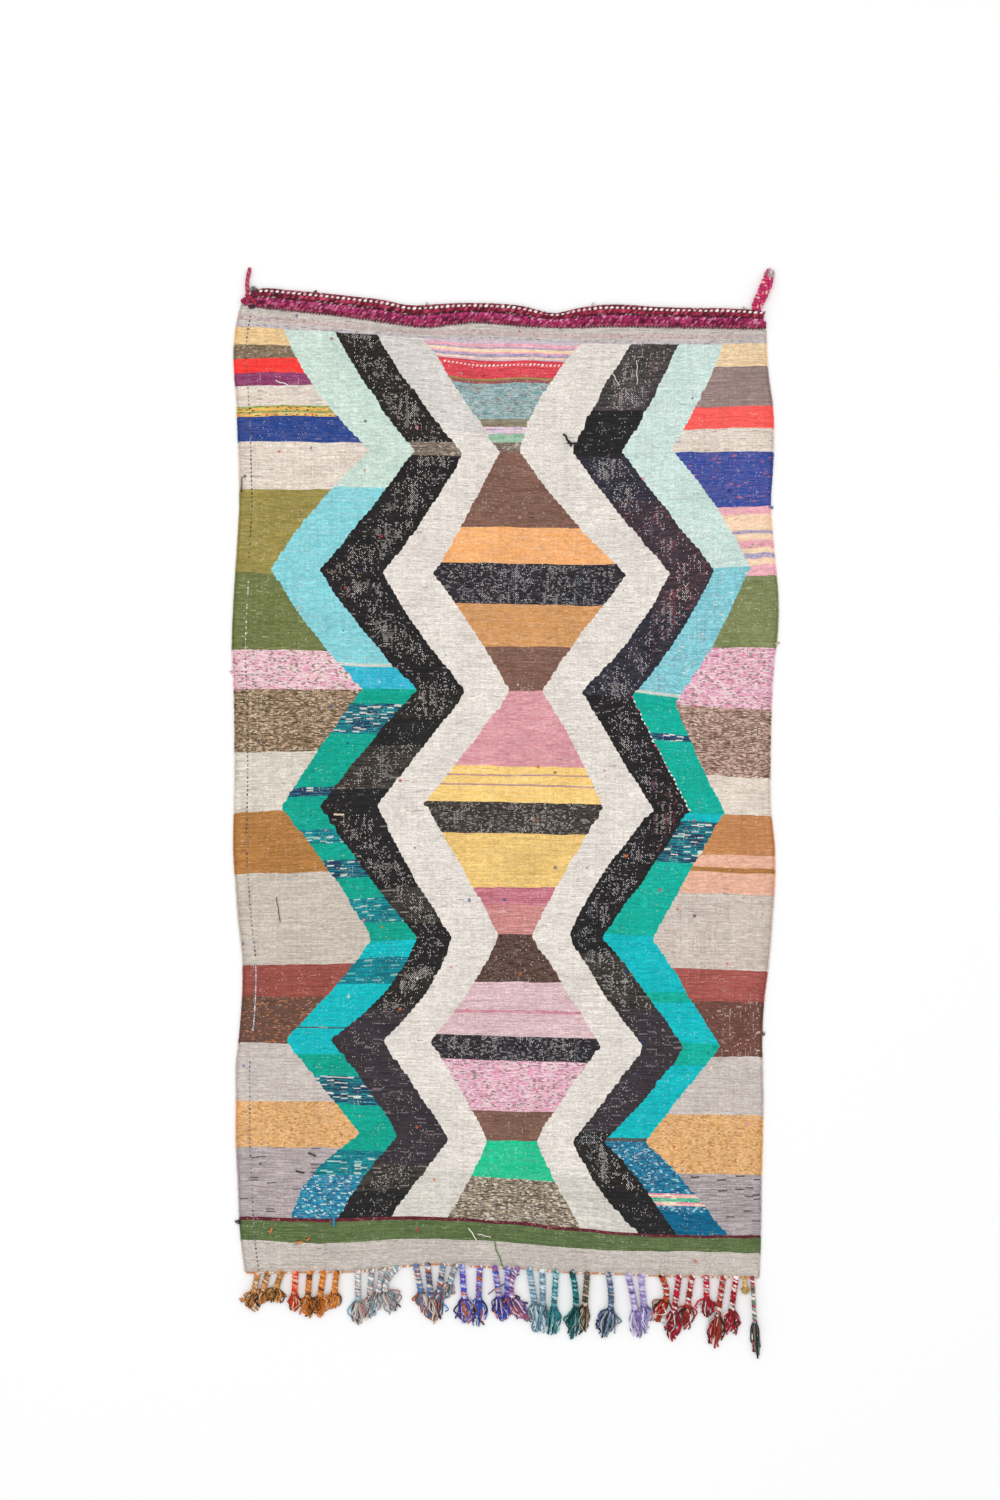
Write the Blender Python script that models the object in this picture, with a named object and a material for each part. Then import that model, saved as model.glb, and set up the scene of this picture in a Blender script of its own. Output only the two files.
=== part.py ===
"""Boucherouite rug: a flat-woven rag rug lying on its back, with a twined plait along its
top end, two short corner tails, and knotted tassels along its bottom end.

Metres, +Z up. The origin is the middle of the cloth's underside, +Y points to the plaited
end, +X to the right of the rug as it is read from above, and its patterned face is up.
"""

import math
from collections import namedtuple

import bmesh
import bpy
from mathutils import Vector

GAP = 0.0003  # clearance between pieces that meet

# Thickness of each piece.
CLOTH_HIGH = 0.004
PLAIT_HIGH = 0.009
LEFT_TAIL_HIGH = 0.009
RIGHT_TAIL_HIGH = 0.010
BACK_HIGH = 0.007

PLAIT_CHAMFER = 0.003
BACK_DEEP = 0.009  # the twined row that the tassels spring from
ROOT_DEEP = 0.003  # how far each tassel starts inside that row

OUTLINE_STEP = 0.030  # spacing of the points along the cloth's edges
TASSEL_STEPS = 8
TAIL_STEPS = 6

# Sections across the width: where the tassel end of the cloth, the foot of the plait
# and the top of the plait lie at each x.
Width = namedtuple("Width", "x hem shoulder crown")
WIDTHS = [
    Width(-0.722, -1.339, 1.326, 1.335),
    Width(-0.706, -1.341, 1.322, 1.355),
    Width(-0.668, -1.341, 1.315, 1.368),
    Width(-0.600, -1.340, 1.308, 1.363),
    Width(-0.520, -1.339, 1.300, 1.356),
    Width(-0.415, -1.338, 1.287, 1.345),
    Width(-0.335, -1.331, 1.275, 1.336),
    Width(-0.260, -1.321, 1.264, 1.320),
    Width(-0.205, -1.317, 1.261, 1.323),
    Width(-0.150, -1.320, 1.268, 1.326),
    Width(-0.080, -1.324, 1.275, 1.327),
    Width(0.040, -1.328, 1.265, 1.320),
    Width(0.135, -1.338, 1.261, 1.297),
    Width(0.205, -1.341, 1.260, 1.314),
    Width(0.290, -1.344, 1.263, 1.323),
    Width(0.445, -1.350, 1.261, 1.315),
    Width(0.620, -1.353, 1.258, 1.312),
    Width(0.712, -1.353, 1.257, 1.306),
]

# Sections along the length: the two selvedges at each y.
Length = namedtuple("Length", "y left right")
LENGTHS = [
    Length(-1.370, -0.708, 0.698),
    Length(-1.280, -0.722, 0.702),
    Length(-1.180, -0.730, 0.704),
    Length(-1.080, -0.734, 0.705),
    Length(-0.980, -0.739, 0.708),
    Length(-0.860, -0.739, 0.710),
    Length(-0.760, -0.739, 0.708),
    Length(-0.700, -0.731, 0.706),
    Length(-0.590, -0.722, 0.712),
    Length(-0.480, -0.721, 0.726),
    Length(-0.370, -0.733, 0.735),
    Length(-0.260, -0.741, 0.742),
    Length(-0.170, -0.746, 0.741),
    Length(-0.080, -0.745, 0.732),
    Length(0.050, -0.743, 0.729),
    Length(0.180, -0.743, 0.731),
    Length(0.270, -0.745, 0.735),
    Length(0.350, -0.750, 0.741),
    Length(0.420, -0.749, 0.749),
    Length(0.510, -0.745, 0.751),
    Length(0.620, -0.738, 0.742),
    Length(0.700, -0.733, 0.735),
    Length(0.780, -0.729, 0.730),
    Length(0.860, -0.731, 0.735),
    Length(0.940, -0.733, 0.739),
    Length(1.040, -0.737, 0.736),
    Length(1.130, -0.743, 0.724),
    Length(1.200, -0.745, 0.720),
    Length(1.270, -0.738, 0.717),
    Length(1.340, -0.720, 0.712),
]

# One row for each tassel: where it leaves the hem, where it is half way, and its free tip.
Tassel = namedtuple("Tassel", "root_x mid_x tip_x tip_y")
TASSELS = [
    Tassel(-0.679, -0.690, -0.704, -1.438),
    Tassel(-0.613, -0.628, -0.641, -1.419),
    Tassel(-0.575, -0.578, -0.580, -1.444),
    Tassel(-0.536, -0.541, -0.544, -1.460),
    Tassel(-0.498, -0.507, -0.514, -1.460),
    Tassel(-0.462, -0.468, -0.473, -1.438),
    Tassel(-0.404, -0.403, -0.399, -1.480),
    Tassel(-0.366, -0.371, -0.374, -1.466),
    Tassel(-0.333, -0.348, -0.352, -1.444),
    Tassel(-0.294, -0.330, -0.302, -1.444),
    Tassel(-0.245, -0.232, -0.216, -1.449),
    Tassel(-0.212, -0.204, -0.193, -1.477),
    Tassel(-0.170, -0.180, -0.197, -1.449),
    Tassel(-0.136, -0.150, -0.160, -1.405),
    Tassel(-0.118, -0.112, -0.104, -1.480),
    Tassel(-0.069, -0.072, -0.074, -1.485),
    Tassel(-0.028, -0.017, -0.006, -1.471),
    Tassel(0.008, 0.006, 0.002, -1.466),
    Tassel(0.035, 0.018, 0.066, -1.471),
    Tassel(0.066, 0.080, 0.088, -1.501),
    Tassel(0.102, 0.104, 0.103, -1.501),
    Tassel(0.140, 0.135, 0.129, -1.513),
    Tassel(0.184, 0.195, 0.180, -1.518),
    Tassel(0.226, 0.220, 0.215, -1.501),
    Tassel(0.283, 0.291, 0.272, -1.518),
    Tassel(0.338, 0.356, 0.366, -1.518),
    Tassel(0.374, 0.381, 0.390, -1.496),
    Tassel(0.429, 0.443, 0.413, -1.471),
    Tassel(0.478, 0.466, 0.454, -1.526),
    Tassel(0.514, 0.503, 0.495, -1.496),
    Tassel(0.553, 0.554, 0.555, -1.460),
    Tassel(0.600, 0.586, 0.575, -1.543),
    Tassel(0.635, 0.624, 0.616, -1.513),
    Tassel(0.657, 0.660, 0.661, -1.397),
    Tassel(0.679, 0.686, 0.693, -1.576),
]

# How a tassel swells along its own length: the cord, its knot and the loose brush.
Swell = namedtuple("Swell", "along wide high")
SWELLS = [
    Swell(0.00, 0.015, 0.010),
    Swell(0.50, 0.015, 0.010),
    Swell(0.60, 0.020, 0.013),
    Swell(0.70, 0.017, 0.010),
    Swell(0.90, 0.028, 0.008),
    Swell(1.00, 0.022, 0.005),
]

# Corner tails, from the plait to the free end.
Tail = namedtuple("Tail", "x y wide")
LEFT_TAIL = [
    Tail(-0.7070, 1.357, 0.011),
    Tail(-0.7085, 1.375, 0.011),
    Tail(-0.7075, 1.392, 0.010),
    Tail(-0.7040, 1.408, 0.011),
    Tail(-0.7010, 1.423, 0.009),
]
RIGHT_TAIL = [
    Tail(0.6880, 1.309, 0.030),
    Tail(0.6990, 1.333, 0.034),
    Tail(0.7110, 1.358, 0.035),
    Tail(0.7210, 1.384, 0.034),
    Tail(0.7270, 1.402, 0.026),
    Tail(0.7290, 1.414, 0.012),
]

# One colour, roughness and metallic value for each piece.
Finish = namedtuple("Finish", "colour roughness metallic")
FINISHES = {
    "field": Finish((0.45, 0.40, 0.36), 0.9, 0.0),
    "top_plait": Finish((0.36, 0.05, 0.12), 0.9, 0.0),
    "corner_tail_left": Finish((0.34, 0.06, 0.10), 0.9, 0.0),
    "corner_tail_right": Finish((0.60, 0.12, 0.22), 0.9, 0.0),
    "fringe": Finish((0.35, 0.30, 0.28), 0.95, 0.0),
}


def smooth(table, along, column, at):
    """The table's column at a value of `along`, on a curve through every row."""
    keys = [getattr(row, along) for row in table]
    values = [getattr(row, column) for row in table]
    if at <= keys[0]:
        return values[0]
    if at >= keys[-1]:
        return values[-1]
    i = next(k for k in range(len(keys) - 1) if keys[k + 1] >= at)

    def slope(k):
        low, high = max(k - 1, 0), min(k + 1, len(keys) - 1)
        return (values[high] - values[low]) / (keys[high] - keys[low])

    span = keys[i + 1] - keys[i]
    t = (at - keys[i]) / span
    return (
        (2 * t**3 - 3 * t**2 + 1) * values[i]
        + (t**3 - 2 * t**2 + t) * span * slope(i)
        + (3 * t**2 - 2 * t**3) * values[i + 1]
        + (t**3 - t**2) * span * slope(i + 1)
    )


def hem(x):
    return smooth(WIDTHS, "x", "hem", x)


def shoulder(x):
    return smooth(WIDTHS, "x", "shoulder", x)


def crown(x):
    return smooth(WIDTHS, "x", "crown", x)


def selvedge(side, y):
    return smooth(LENGTHS, "y", side, y)


def corner(side, end):
    """Where a selvedge and an end of the cloth cross, found by walking between the two."""
    y = end(selvedge(side, 0.0))
    for _ in range(20):
        y = end(selvedge(side, y))
    return selvedge(side, y), y


def spread(low, high, step):
    """Evenly spaced values from low to high, both included."""
    count = max(1, round(abs(high - low) / step))
    return [low + (high - low) * i / count for i in range(count + 1)]


def material(name):
    finish = FINISHES[name]
    made = bpy.data.materials.new(name)
    made.use_nodes = True
    shader = made.node_tree.nodes["Principled BSDF"]
    shader.inputs["Base Color"].default_value = (*finish.colour, 1.0)
    shader.inputs["Roughness"].default_value = finish.roughness
    shader.inputs["Metallic"].default_value = finish.metallic
    return made


def add_object(name, mesh, finish=None):
    made = bpy.data.objects.new(name, mesh)
    made.data.materials.append(finish or material(name))
    bpy.context.scene.collection.objects.link(made)
    return made


def sheet(name, outline, high):
    """A flat piece of the given outline, lying on z = 0."""
    mesh = bpy.data.meshes.new(name)
    work = bmesh.new()
    face = work.faces.new([work.verts.new((x, y, 0.0)) for x, y in outline])
    raised = bmesh.ops.extrude_face_region(work, geom=[face])
    top = [item for item in raised["geom"] if isinstance(item, bmesh.types.BMVert)]
    bmesh.ops.translate(work, verts=top, vec=(0.0, 0.0, high))
    bmesh.ops.recalc_face_normals(work, faces=work.faces)
    work.to_mesh(mesh)
    work.free()
    return add_object(name, mesh)


def loft(name, sections, finish=None):
    """A closed solid through rings of the same number of points."""
    mesh = bpy.data.meshes.new(name)
    work = bmesh.new()
    rings = [[work.verts.new(point) for point in ring] for ring in sections]
    for near, far in zip(rings, rings[1:]):
        for i, corner_vert in enumerate(near):
            j = (i + 1) % len(near)
            work.faces.new((corner_vert, near[j], far[j], far[i]))
    work.faces.new(rings[0])
    work.faces.new(rings[-1])
    bmesh.ops.recalc_face_normals(work, faces=work.faces)
    work.to_mesh(mesh)
    work.free()
    return add_object(name, mesh, finish)


def low_arch(left, right, high, chamfer):
    """The ring of a strip's cross-section between two floor points: a flat foot, short
    sides and a chamfered top."""
    left, right = Vector(left), Vector(right)
    inward = (right - left).normalized() * chamfer
    up, top = Vector((0, 0, high - chamfer)), Vector((0, 0, high))
    return [left, right, right + up, right - inward + top, left + inward + top, left + up]


def ribbon(name, rows, high, steps, finish=None):
    """A tapering strip that follows the rows' points, each row's width across it."""
    reach = [0.0]
    for near, far in zip(rows, rows[1:]):
        reach.append(reach[-1] + math.hypot(far.x - near.x, far.y - near.y))
    Station = namedtuple("Station", "run x y wide")
    run = [Station(r, row.x, row.y, row.wide) for r, row in zip(reach, rows)]
    sections = []
    for s in spread(0.0, reach[-1], reach[-1] / steps):
        point, ahead, behind = (
            Vector((smooth(run, "run", "x", v), smooth(run, "run", "y", v), 0.0))
            for v in (s, min(s + 0.001, reach[-1]), max(s - 0.001, 0.0))
        )
        side = (ahead - behind).normalized().cross(Vector((0, 0, 1)))
        half = smooth(run, "run", "wide", s) / 2
        chamfer = min(high, half) / 3
        sections.append(low_arch(point - side * half, point + side * half, high, chamfer))
    return loft(name, sections, finish)


def cloth():
    """The woven sheet, as uneven along its four edges as the real one."""
    left_top, right_top = corner("left", shoulder), corner("right", shoulder)
    left_foot, right_foot = corner("left", hem), corner("right", hem)
    outline = []
    for x in spread(left_foot[0], right_foot[0], OUTLINE_STEP):
        outline.append((x, hem(x)))
    for y in spread(right_foot[1], right_top[1], OUTLINE_STEP)[1:]:
        outline.append((selvedge("right", y), y))
    for x in spread(right_top[0], left_top[0], OUTLINE_STEP)[1:]:
        outline.append((x, shoulder(x)))
    for y in spread(left_top[1], left_foot[1], OUTLINE_STEP)[1:-1]:
        outline.append((selvedge("left", y), y))
    return sheet("field", outline, CLOTH_HIGH)


def plait():
    """The thick twined finish along the top end, from its foot to its crown."""
    sections = [
        low_arch((x, shoulder(x) + GAP, 0), (x, crown(x), 0), PLAIT_HIGH, PLAIT_CHAMFER)
        for x in spread(WIDTHS[0].x, WIDTHS[-1].x, OUTLINE_STEP)
    ]
    return loft("top_plait", sections)


def tail(name, rows, high):
    """A corner tail, its root cut along the plait's crown a gap above it."""
    made = ribbon(name, rows, high, TAIL_STEPS)
    for vertex in made.data.vertices[:6]:
        vertex.co.y = crown(vertex.co.x) + GAP
    return made


def tassel(index, row, finish):
    """One tassel: a cord from inside the twined row, a knot, and a flatter brush."""
    Point = namedtuple("Point", "at x y")
    root_y = hem(row.root_x) - GAP - BACK_DEEP + ROOT_DEEP
    mid_y = (root_y + row.tip_y) / 2
    path = [
        Point(0.0, row.root_x, root_y),
        Point(0.5, row.mid_x, mid_y),
        Point(1.0, row.tip_x, row.tip_y),
    ]
    sections = []
    for t in spread(0.0, 1.0, 1.0 / TASSEL_STEPS):
        point, ahead, behind = (
            Vector((smooth(path, "at", "x", v), smooth(path, "at", "y", v), 0.0))
            for v in (t, min(t + 0.01, 1.0), max(t - 0.01, 0.0))
        )
        side = (ahead - behind).normalized().cross(Vector((0, 0, 1)))
        half = smooth(SWELLS, "along", "wide", t) / 2
        high = smooth(SWELLS, "along", "high", t)
        sections.append(low_arch(point - side * half, point + side * half, high, high / 3))
    made = loft(f"tassel_{index}", sections, finish)
    made.hide_render = True
    made.display_type = "WIRE"
    return made


def fringe():
    """The twined row below the hem and every tassel on it, as one comb."""
    ends = corner("left", hem)[0], corner("right", hem)[0]
    sections = [
        low_arch((x, hem(x) - GAP - BACK_DEEP, 0), (x, hem(x) - GAP, 0), BACK_HIGH, 0.002)
        for x in spread(*ends, OUTLINE_STEP)
    ]
    comb = loft("fringe", sections)
    finish = comb.data.materials[0]
    teeth = bpy.data.collections.new("tassels")
    bpy.context.scene.collection.children.link(teeth)
    for index, row in enumerate(TASSELS):
        made = tassel(index, row, finish)
        bpy.context.scene.collection.objects.unlink(made)
        teeth.objects.link(made)
    union = comb.modifiers.new("tassels", "BOOLEAN")
    union.operation = "UNION"
    union.solver = "EXACT"
    union.operand_type = "COLLECTION"
    union.collection = teeth
    return comb


def main():
    for item in list(bpy.data.objects):
        bpy.data.objects.remove(item, do_unlink=True)
    cloth()
    plait()
    tail("corner_tail_left", LEFT_TAIL, LEFT_TAIL_HIGH)
    tail("corner_tail_right", RIGHT_TAIL, RIGHT_TAIL_HIGH)
    fringe()


main()
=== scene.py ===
# %% [markdown]
# # A boucherouite rug
# This rug is woven at home from spun wool and torn rags. Bands of teal, black and cream
# zigzag down both sides of a row of lozenges, and every field between them is a stack of
# stripes in whatever yarn was to hand. A thick twined plait finishes the top end, and
# knotted tassels the bottom end. The imported model gives the true size and place of each
# piece, so we load it first and keep its box.

# %% Load the frame
import math
import random
from collections import namedtuple

import bpy
import numpy as np
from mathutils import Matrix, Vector, noise


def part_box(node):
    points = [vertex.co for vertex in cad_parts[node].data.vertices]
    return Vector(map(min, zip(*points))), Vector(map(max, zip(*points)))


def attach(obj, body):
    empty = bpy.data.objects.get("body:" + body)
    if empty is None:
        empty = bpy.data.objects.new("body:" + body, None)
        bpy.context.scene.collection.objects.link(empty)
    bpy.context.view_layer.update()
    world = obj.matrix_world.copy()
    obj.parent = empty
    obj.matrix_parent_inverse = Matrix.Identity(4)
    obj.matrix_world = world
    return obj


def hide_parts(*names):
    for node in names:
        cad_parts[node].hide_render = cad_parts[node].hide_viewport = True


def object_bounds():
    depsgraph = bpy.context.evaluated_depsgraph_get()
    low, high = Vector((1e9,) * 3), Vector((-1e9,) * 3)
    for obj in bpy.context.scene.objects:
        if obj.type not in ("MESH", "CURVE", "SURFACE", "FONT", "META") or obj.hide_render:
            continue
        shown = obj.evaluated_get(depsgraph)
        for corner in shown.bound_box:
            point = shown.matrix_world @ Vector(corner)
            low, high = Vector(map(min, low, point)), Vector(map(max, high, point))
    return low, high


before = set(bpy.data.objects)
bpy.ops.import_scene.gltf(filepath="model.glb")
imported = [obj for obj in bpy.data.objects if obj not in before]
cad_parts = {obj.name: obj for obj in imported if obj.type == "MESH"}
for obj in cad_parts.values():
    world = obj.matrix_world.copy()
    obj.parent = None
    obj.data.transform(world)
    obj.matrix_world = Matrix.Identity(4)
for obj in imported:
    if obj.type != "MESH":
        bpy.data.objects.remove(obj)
cad_box = [list(map(float, corner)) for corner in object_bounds()]
print("pieces in the frame:", sorted(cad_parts))
print("size in metres:", [round(high - low, 3) for low, high in zip(*cad_box)])

# %% [markdown]
# ## Node trees in a few words
# Materials and Geometry Nodes are built the same way: add a node, feed its sockets, set
# its options. One small helper does all three. A value that is a socket becomes a link,
# and anything else becomes the socket's own value. The last three helpers set inputs by
# name, write an attribute over a mesh, and put an object into the scene.

# %% Helpers for node trees
def node(tree, kind, *feeds, **options):
    """Adds a node, sets its options, and feeds its inputs in order or by {name: value}."""
    made = tree.nodes.new(kind)
    for option, value in options.items():
        setattr(made, option, value)
    pairs = []
    for index, feed in enumerate(feeds):
        pairs += list(feed.items()) if isinstance(feed, dict) else [(index, feed)]
    for key, value in pairs:
        if isinstance(value, bpy.types.NodeSocket):
            tree.links.new(value, made.inputs[key])
        elif value is not None:
            made.inputs[key].default_value = value
    return made


def calc(tree, operation, *feeds, **options):
    """The result of one Math node."""
    return node(tree, "ShaderNodeMath", *feeds, operation=operation, **options).outputs[0]


def vector(tree, operation, *feeds):
    """The result of one Vector Math node."""
    made = node(tree, "ShaderNodeVectorMath", *feeds, operation=operation)
    return made.outputs["Value" if operation in ("LENGTH", "DOT_PRODUCT") else "Vector"]


def stretch(tree, value, gain, start):
    """value times gain plus start, kept between 0 and 1."""
    return calc(tree, "MULTIPLY_ADD", value, gain, start, use_clamp=True)


def blend(tree, share, first, second, how="MIX"):
    """Two colours mixed in the given share."""
    made = node(tree, "ShaderNodeMix", data_type="RGBA", blend_type=how)
    for socket, value in zip((0, 6, 7), (share, first, second)):
        if isinstance(value, bpy.types.NodeSocket):
            tree.links.new(value, made.inputs[socket])
        else:
            made.inputs[socket].default_value = value
    return made.outputs[2]


def settle(made, **values):
    """Sets plain inputs of a node by name, with _ for a space."""
    for name, value in values.items():
        made.inputs[name.replace("_", " ")].default_value = value


def store(mesh, name, kind, domain, values):
    """Writes one attribute over a mesh."""
    key = {"FLOAT": "value", "FLOAT_VECTOR": "vector", "FLOAT_COLOR": "color"}[kind]
    layer = mesh.attributes.new(name, kind, domain)
    layer.data.foreach_set(key, np.asarray(values, float).ravel())


def add_object(name, data):
    """Puts an object with this data into the scene."""
    made = bpy.data.objects.new(name, data)
    bpy.context.scene.collection.objects.link(made)
    return made


print("helpers ready")

# %% [markdown]
# ## Camera
# The rug is read from straight above, as a buyer sees it laid out. A long lens from well
# up keeps its sides parallel. The lens follows from how much floor should show.

# %% Camera
VIEW_TALL = 4.125  # metres of floor from the top to the bottom of the picture
VIEW_OFFSET = (-0.014, 0.175)  # from the middle of the rug's box to the middle of the view
CAMERA_HIGH = 9.0
SENSOR = 36.0

eye = bpy.data.cameras.new("camera")
eye.sensor_fit = "VERTICAL"
eye.sensor_height = SENSOR
eye.lens = SENSOR * CAMERA_HIGH / VIEW_TALL
camera = add_object("camera", eye)
middle = [(low + high) / 2 for low, high in zip(*cad_box)]
camera.location = (middle[0] + VIEW_OFFSET[0], middle[1] + VIEW_OFFSET[1], CAMERA_HIGH)
bpy.context.scene.camera = camera
print("lens:", round(eye.lens, 1), "mm")

# %% [markdown]
# ## Dyes
# A dye is written as the hex colour that a person would pick for it. Blender mixes light
# in linear values, so each is converted once. The shadows inside the weave darken the yarn
# a little, so every dye is brought up by the same share.

# %% Dyes
DYE_GAIN = 1.02


def dye(code):
    """A hex colour as linear red, green, blue and alpha."""
    parts = [int(code[i : i + 2], 16) / 255 for i in (1, 3, 5)]
    linear = [c / 12.92 if c <= 0.04045 else ((c + 0.055) / 1.055) ** 2.4 for c in parts]
    return tuple(DYE_GAIN * c for c in linear) + (1.0,)


def dyed(*codes):
    """Several dyes at once."""
    return [dye(code) for code in codes]


print("a madder red:", [round(c, 3) for c in dye("#9d554c")])

# %% [markdown]
# ## Floor and light
# A pale plain floor and soft light from everywhere, with one broad lamp to the upper left
# so that the yarns cast the faintest of shadows.

# %% Floor and light
FLOOR_SIDE = 40.0
FLOOR_DROP = 0.0006  # keeps the floor just under the cloth
FLOOR_PAINT = (0.93, 0.93, 0.93, 1.0)
WORLD_LIGHT = 0.95
LAMP_PLACE = (-1.4, 1.6, 7.0)
LAMP_SIDE = 4.0
LAMP_WATTS = 90.0

side = FLOOR_SIDE / 2
floor_mesh = bpy.data.meshes.new("floor")
corners = [(-side, -side), (side, -side), (side, side), (-side, side)]
floor_mesh.from_pydata([(x, y, -FLOOR_DROP) for x, y in corners], [], [(0, 1, 2, 3)])
floor = add_object("floor", floor_mesh)
pale = bpy.data.materials.new("pale_floor")
pale.use_nodes = True
paint = pale.node_tree.nodes["Principled BSDF"]
settle(paint, Base_Color=FLOOR_PAINT, Roughness=0.9, Specular_IOR_Level=0.1)
floor_mesh.materials.append(pale)

world = bpy.data.worlds.new("studio")
world.use_nodes = True
settle(world.node_tree.nodes["Background"], Color=(1.0, 1.0, 1.0, 1.0), Strength=WORLD_LIGHT)
bpy.context.scene.world = world
lamp_data = bpy.data.lights.new("soft_lamp", "AREA")
lamp_data.size = LAMP_SIDE
lamp_data.energy = LAMP_WATTS
lamp = add_object("soft_lamp", lamp_data)
lamp.location = LAMP_PLACE
lamp.rotation_euler = (Vector((0, 0, 0)) - Vector(LAMP_PLACE)).to_track_quat("-Z", "Y").to_euler()
bpy.context.scene.view_settings.view_transform = "Standard"
print("lamp:", LAMP_WATTS, "W,", LAMP_SIDE, "m wide")

# %% [markdown]
# ## The outline
# Handwoven cloth is never straight: this one narrows and widens as its warps were drawn
# in, and its ends wave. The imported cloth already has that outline, so we ask it where its
# edges are instead of writing them twice. A cut across the piece gives two edges at once.

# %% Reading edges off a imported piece
def cutter(name, axis):
    """A function that gives the lowest and highest place where a cut crosses the piece.
    axis 0 cuts at an x and gives two y values; axis 1 cuts at a y and gives two x values."""
    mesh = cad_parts[name].data
    points = np.array([v.co for v in mesh.vertices])
    ends = points[np.array([e.vertices for e in mesh.edges])]
    low = ends[:, :, axis].min(axis=1)
    high = ends[:, :, axis].max(axis=1)

    def cut(at):
        at = min(max(at, points[:, axis].min() + 1e-6), points[:, axis].max() - 1e-6)
        hit = ends[(low <= at) & (high >= at) & (high > low)]
        share = (at - hit[:, 0, axis]) / (hit[:, 1, axis] - hit[:, 0, axis])
        across = hit[:, 0, 1 - axis] + share * (hit[:, 1, 1 - axis] - hit[:, 0, 1 - axis])
        return float(across.min()), float(across.max())

    return cut


cut_ends = cutter("field", 0)
sides_at = cutter("field", 1)
plait_at = cutter("top_plait", 0)
CLOTH_THICK = float(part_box("field")[1][2])
FULL_LENGTH = (-0.715, 0.695)  # between these the cloth runs from end to end


def ends_at(x):
    """The two ends of the cloth at x; its bulging sides take those of its corners."""
    return cut_ends(min(max(x, FULL_LENGTH[0]), FULL_LENGTH[1]))


print("across the middle:", [round(x, 3) for x in sides_at(0.0)], "thick:", CLOTH_THICK)

# %% [markdown]
# ## The lie of the weft
# The weft was beaten in by hand, so its rows wave and drift: level near the top, and
# running downhill to the right by the time the weaver reached the bottom. A row is named
# by its height on the centre line. The table gives some rows at seven places across, in
# metres, and every other row is a smooth blend of its neighbours.

# %% Weft rows
ACROSS = (-0.72, -0.50, -0.25, 0.0, 0.25, 0.50, 0.72)
ROWS = {
    "start": (1.263, 1.250, 1.232, 1.2235, 1.216, 1.214, 1.217),
    "turn_1": (0.924, 0.923, 0.919, 0.914, 0.914, 0.922, 0.925),
    "turn_2": (0.596, 0.590, 0.582, 0.577, 0.573, 0.586, 0.600),
    "turn_3": (0.268, 0.267, 0.262, 0.258, 0.255, 0.228, 0.215),
    "turn_4": (-0.068, -0.058, -0.050, -0.053, -0.060, -0.070, -0.078),
    "turn_5": (-0.434, -0.430, -0.418, -0.412, -0.414, -0.425, -0.432),
    "turn_6": (-0.698, -0.700, -0.703, -0.710, -0.717, -0.720, -0.724),
    "turn_7": (-0.955, -0.957, -0.968, -0.980, -0.981, -0.986, -0.992),
    "fell": (-1.182, -1.187, -1.181, -1.194, -1.219, -1.234, -1.233),
    "green_edge": (-1.246, -1.256, -1.243, -1.253, -1.274, -1.279, -1.282),
}
BEAT = 0.0045  # the mesh has one row of faces for each of these


def through(keys, values, at):
    """A smooth curve through (key, value) pairs, level with its neighbours' slopes."""
    keys, values = np.asarray(keys, float), np.asarray(values, float)
    slopes = np.gradient(values, keys)
    at = np.clip(at, keys[0], keys[-1])
    i = np.clip(np.searchsorted(keys, at) - 1, 0, len(keys) - 2)
    span = keys[i + 1] - keys[i]
    t = (at - keys[i]) / span
    return (
        (2 * t**3 - 3 * t**2 + 1) * values[i]
        + (t**3 - 2 * t**2 + t) * span * slopes[i]
        + (3 * t**2 - 2 * t**3) * values[i + 1]
        + (t**3 - t**2) * span * slopes[i + 1]
    )


FOOT, HEAD = ends_at(0.0)
LEVELS = {name: places[3] for name, places in ROWS.items()}
levels = np.linspace(FOOT, HEAD, round((HEAD - FOOT) / BEAT) + 1)
across = np.linspace(-0.76, 0.76, 153)


def drifts():
    """How far every row lies above or below its own level, at every place across."""
    inner = sorted(ROWS.values(), key=lambda places: places[3])
    keys = [FOOT] + [places[3] for places in inner] + [HEAD]
    table = []
    for x in across:
        foot, head = ends_at(x)
        drift = [foot - FOOT] + [through(ACROSS, places, x) - places[3] for places in inner]
        table.append(through(keys, drift + [head - HEAD], levels))
    return np.array(table).T


row_drifts = drifts()


def weft_y(x, level):
    """How high the row of that name lies at x."""
    index = int(round((level - FOOT) / (HEAD - FOOT) * (len(levels) - 1)))
    return level + np.interp(x, across, row_drifts[index])


CALM = 0.05  # this close to an end the rows begin to lie still


def ripple(x, level):
    """How far a beaten row strays from its smooth line, less and less near the ends."""
    stray = 0.0030 * noise.noise((x / 0.09, level / 0.05, 2.0))
    stray += 0.0022 * noise.noise((x / 0.025, level / 0.04, 7.0))
    return stray * min(1.0, (level - FOOT) / CALM, (HEAD - level) / CALM)


print(len(levels) - 1, "rows from", round(FOOT, 3), "to", round(HEAD, 3))

# %% [markdown]
# ## The zigzags
# Eight lines run down the rug and turn together at seven rows. Each is given where it
# starts, turns and ends, and how far each of its straight runs bows to the right. The
# rows are counted in threes, because a tapestry join climbs in steps of a few wefts.

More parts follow.
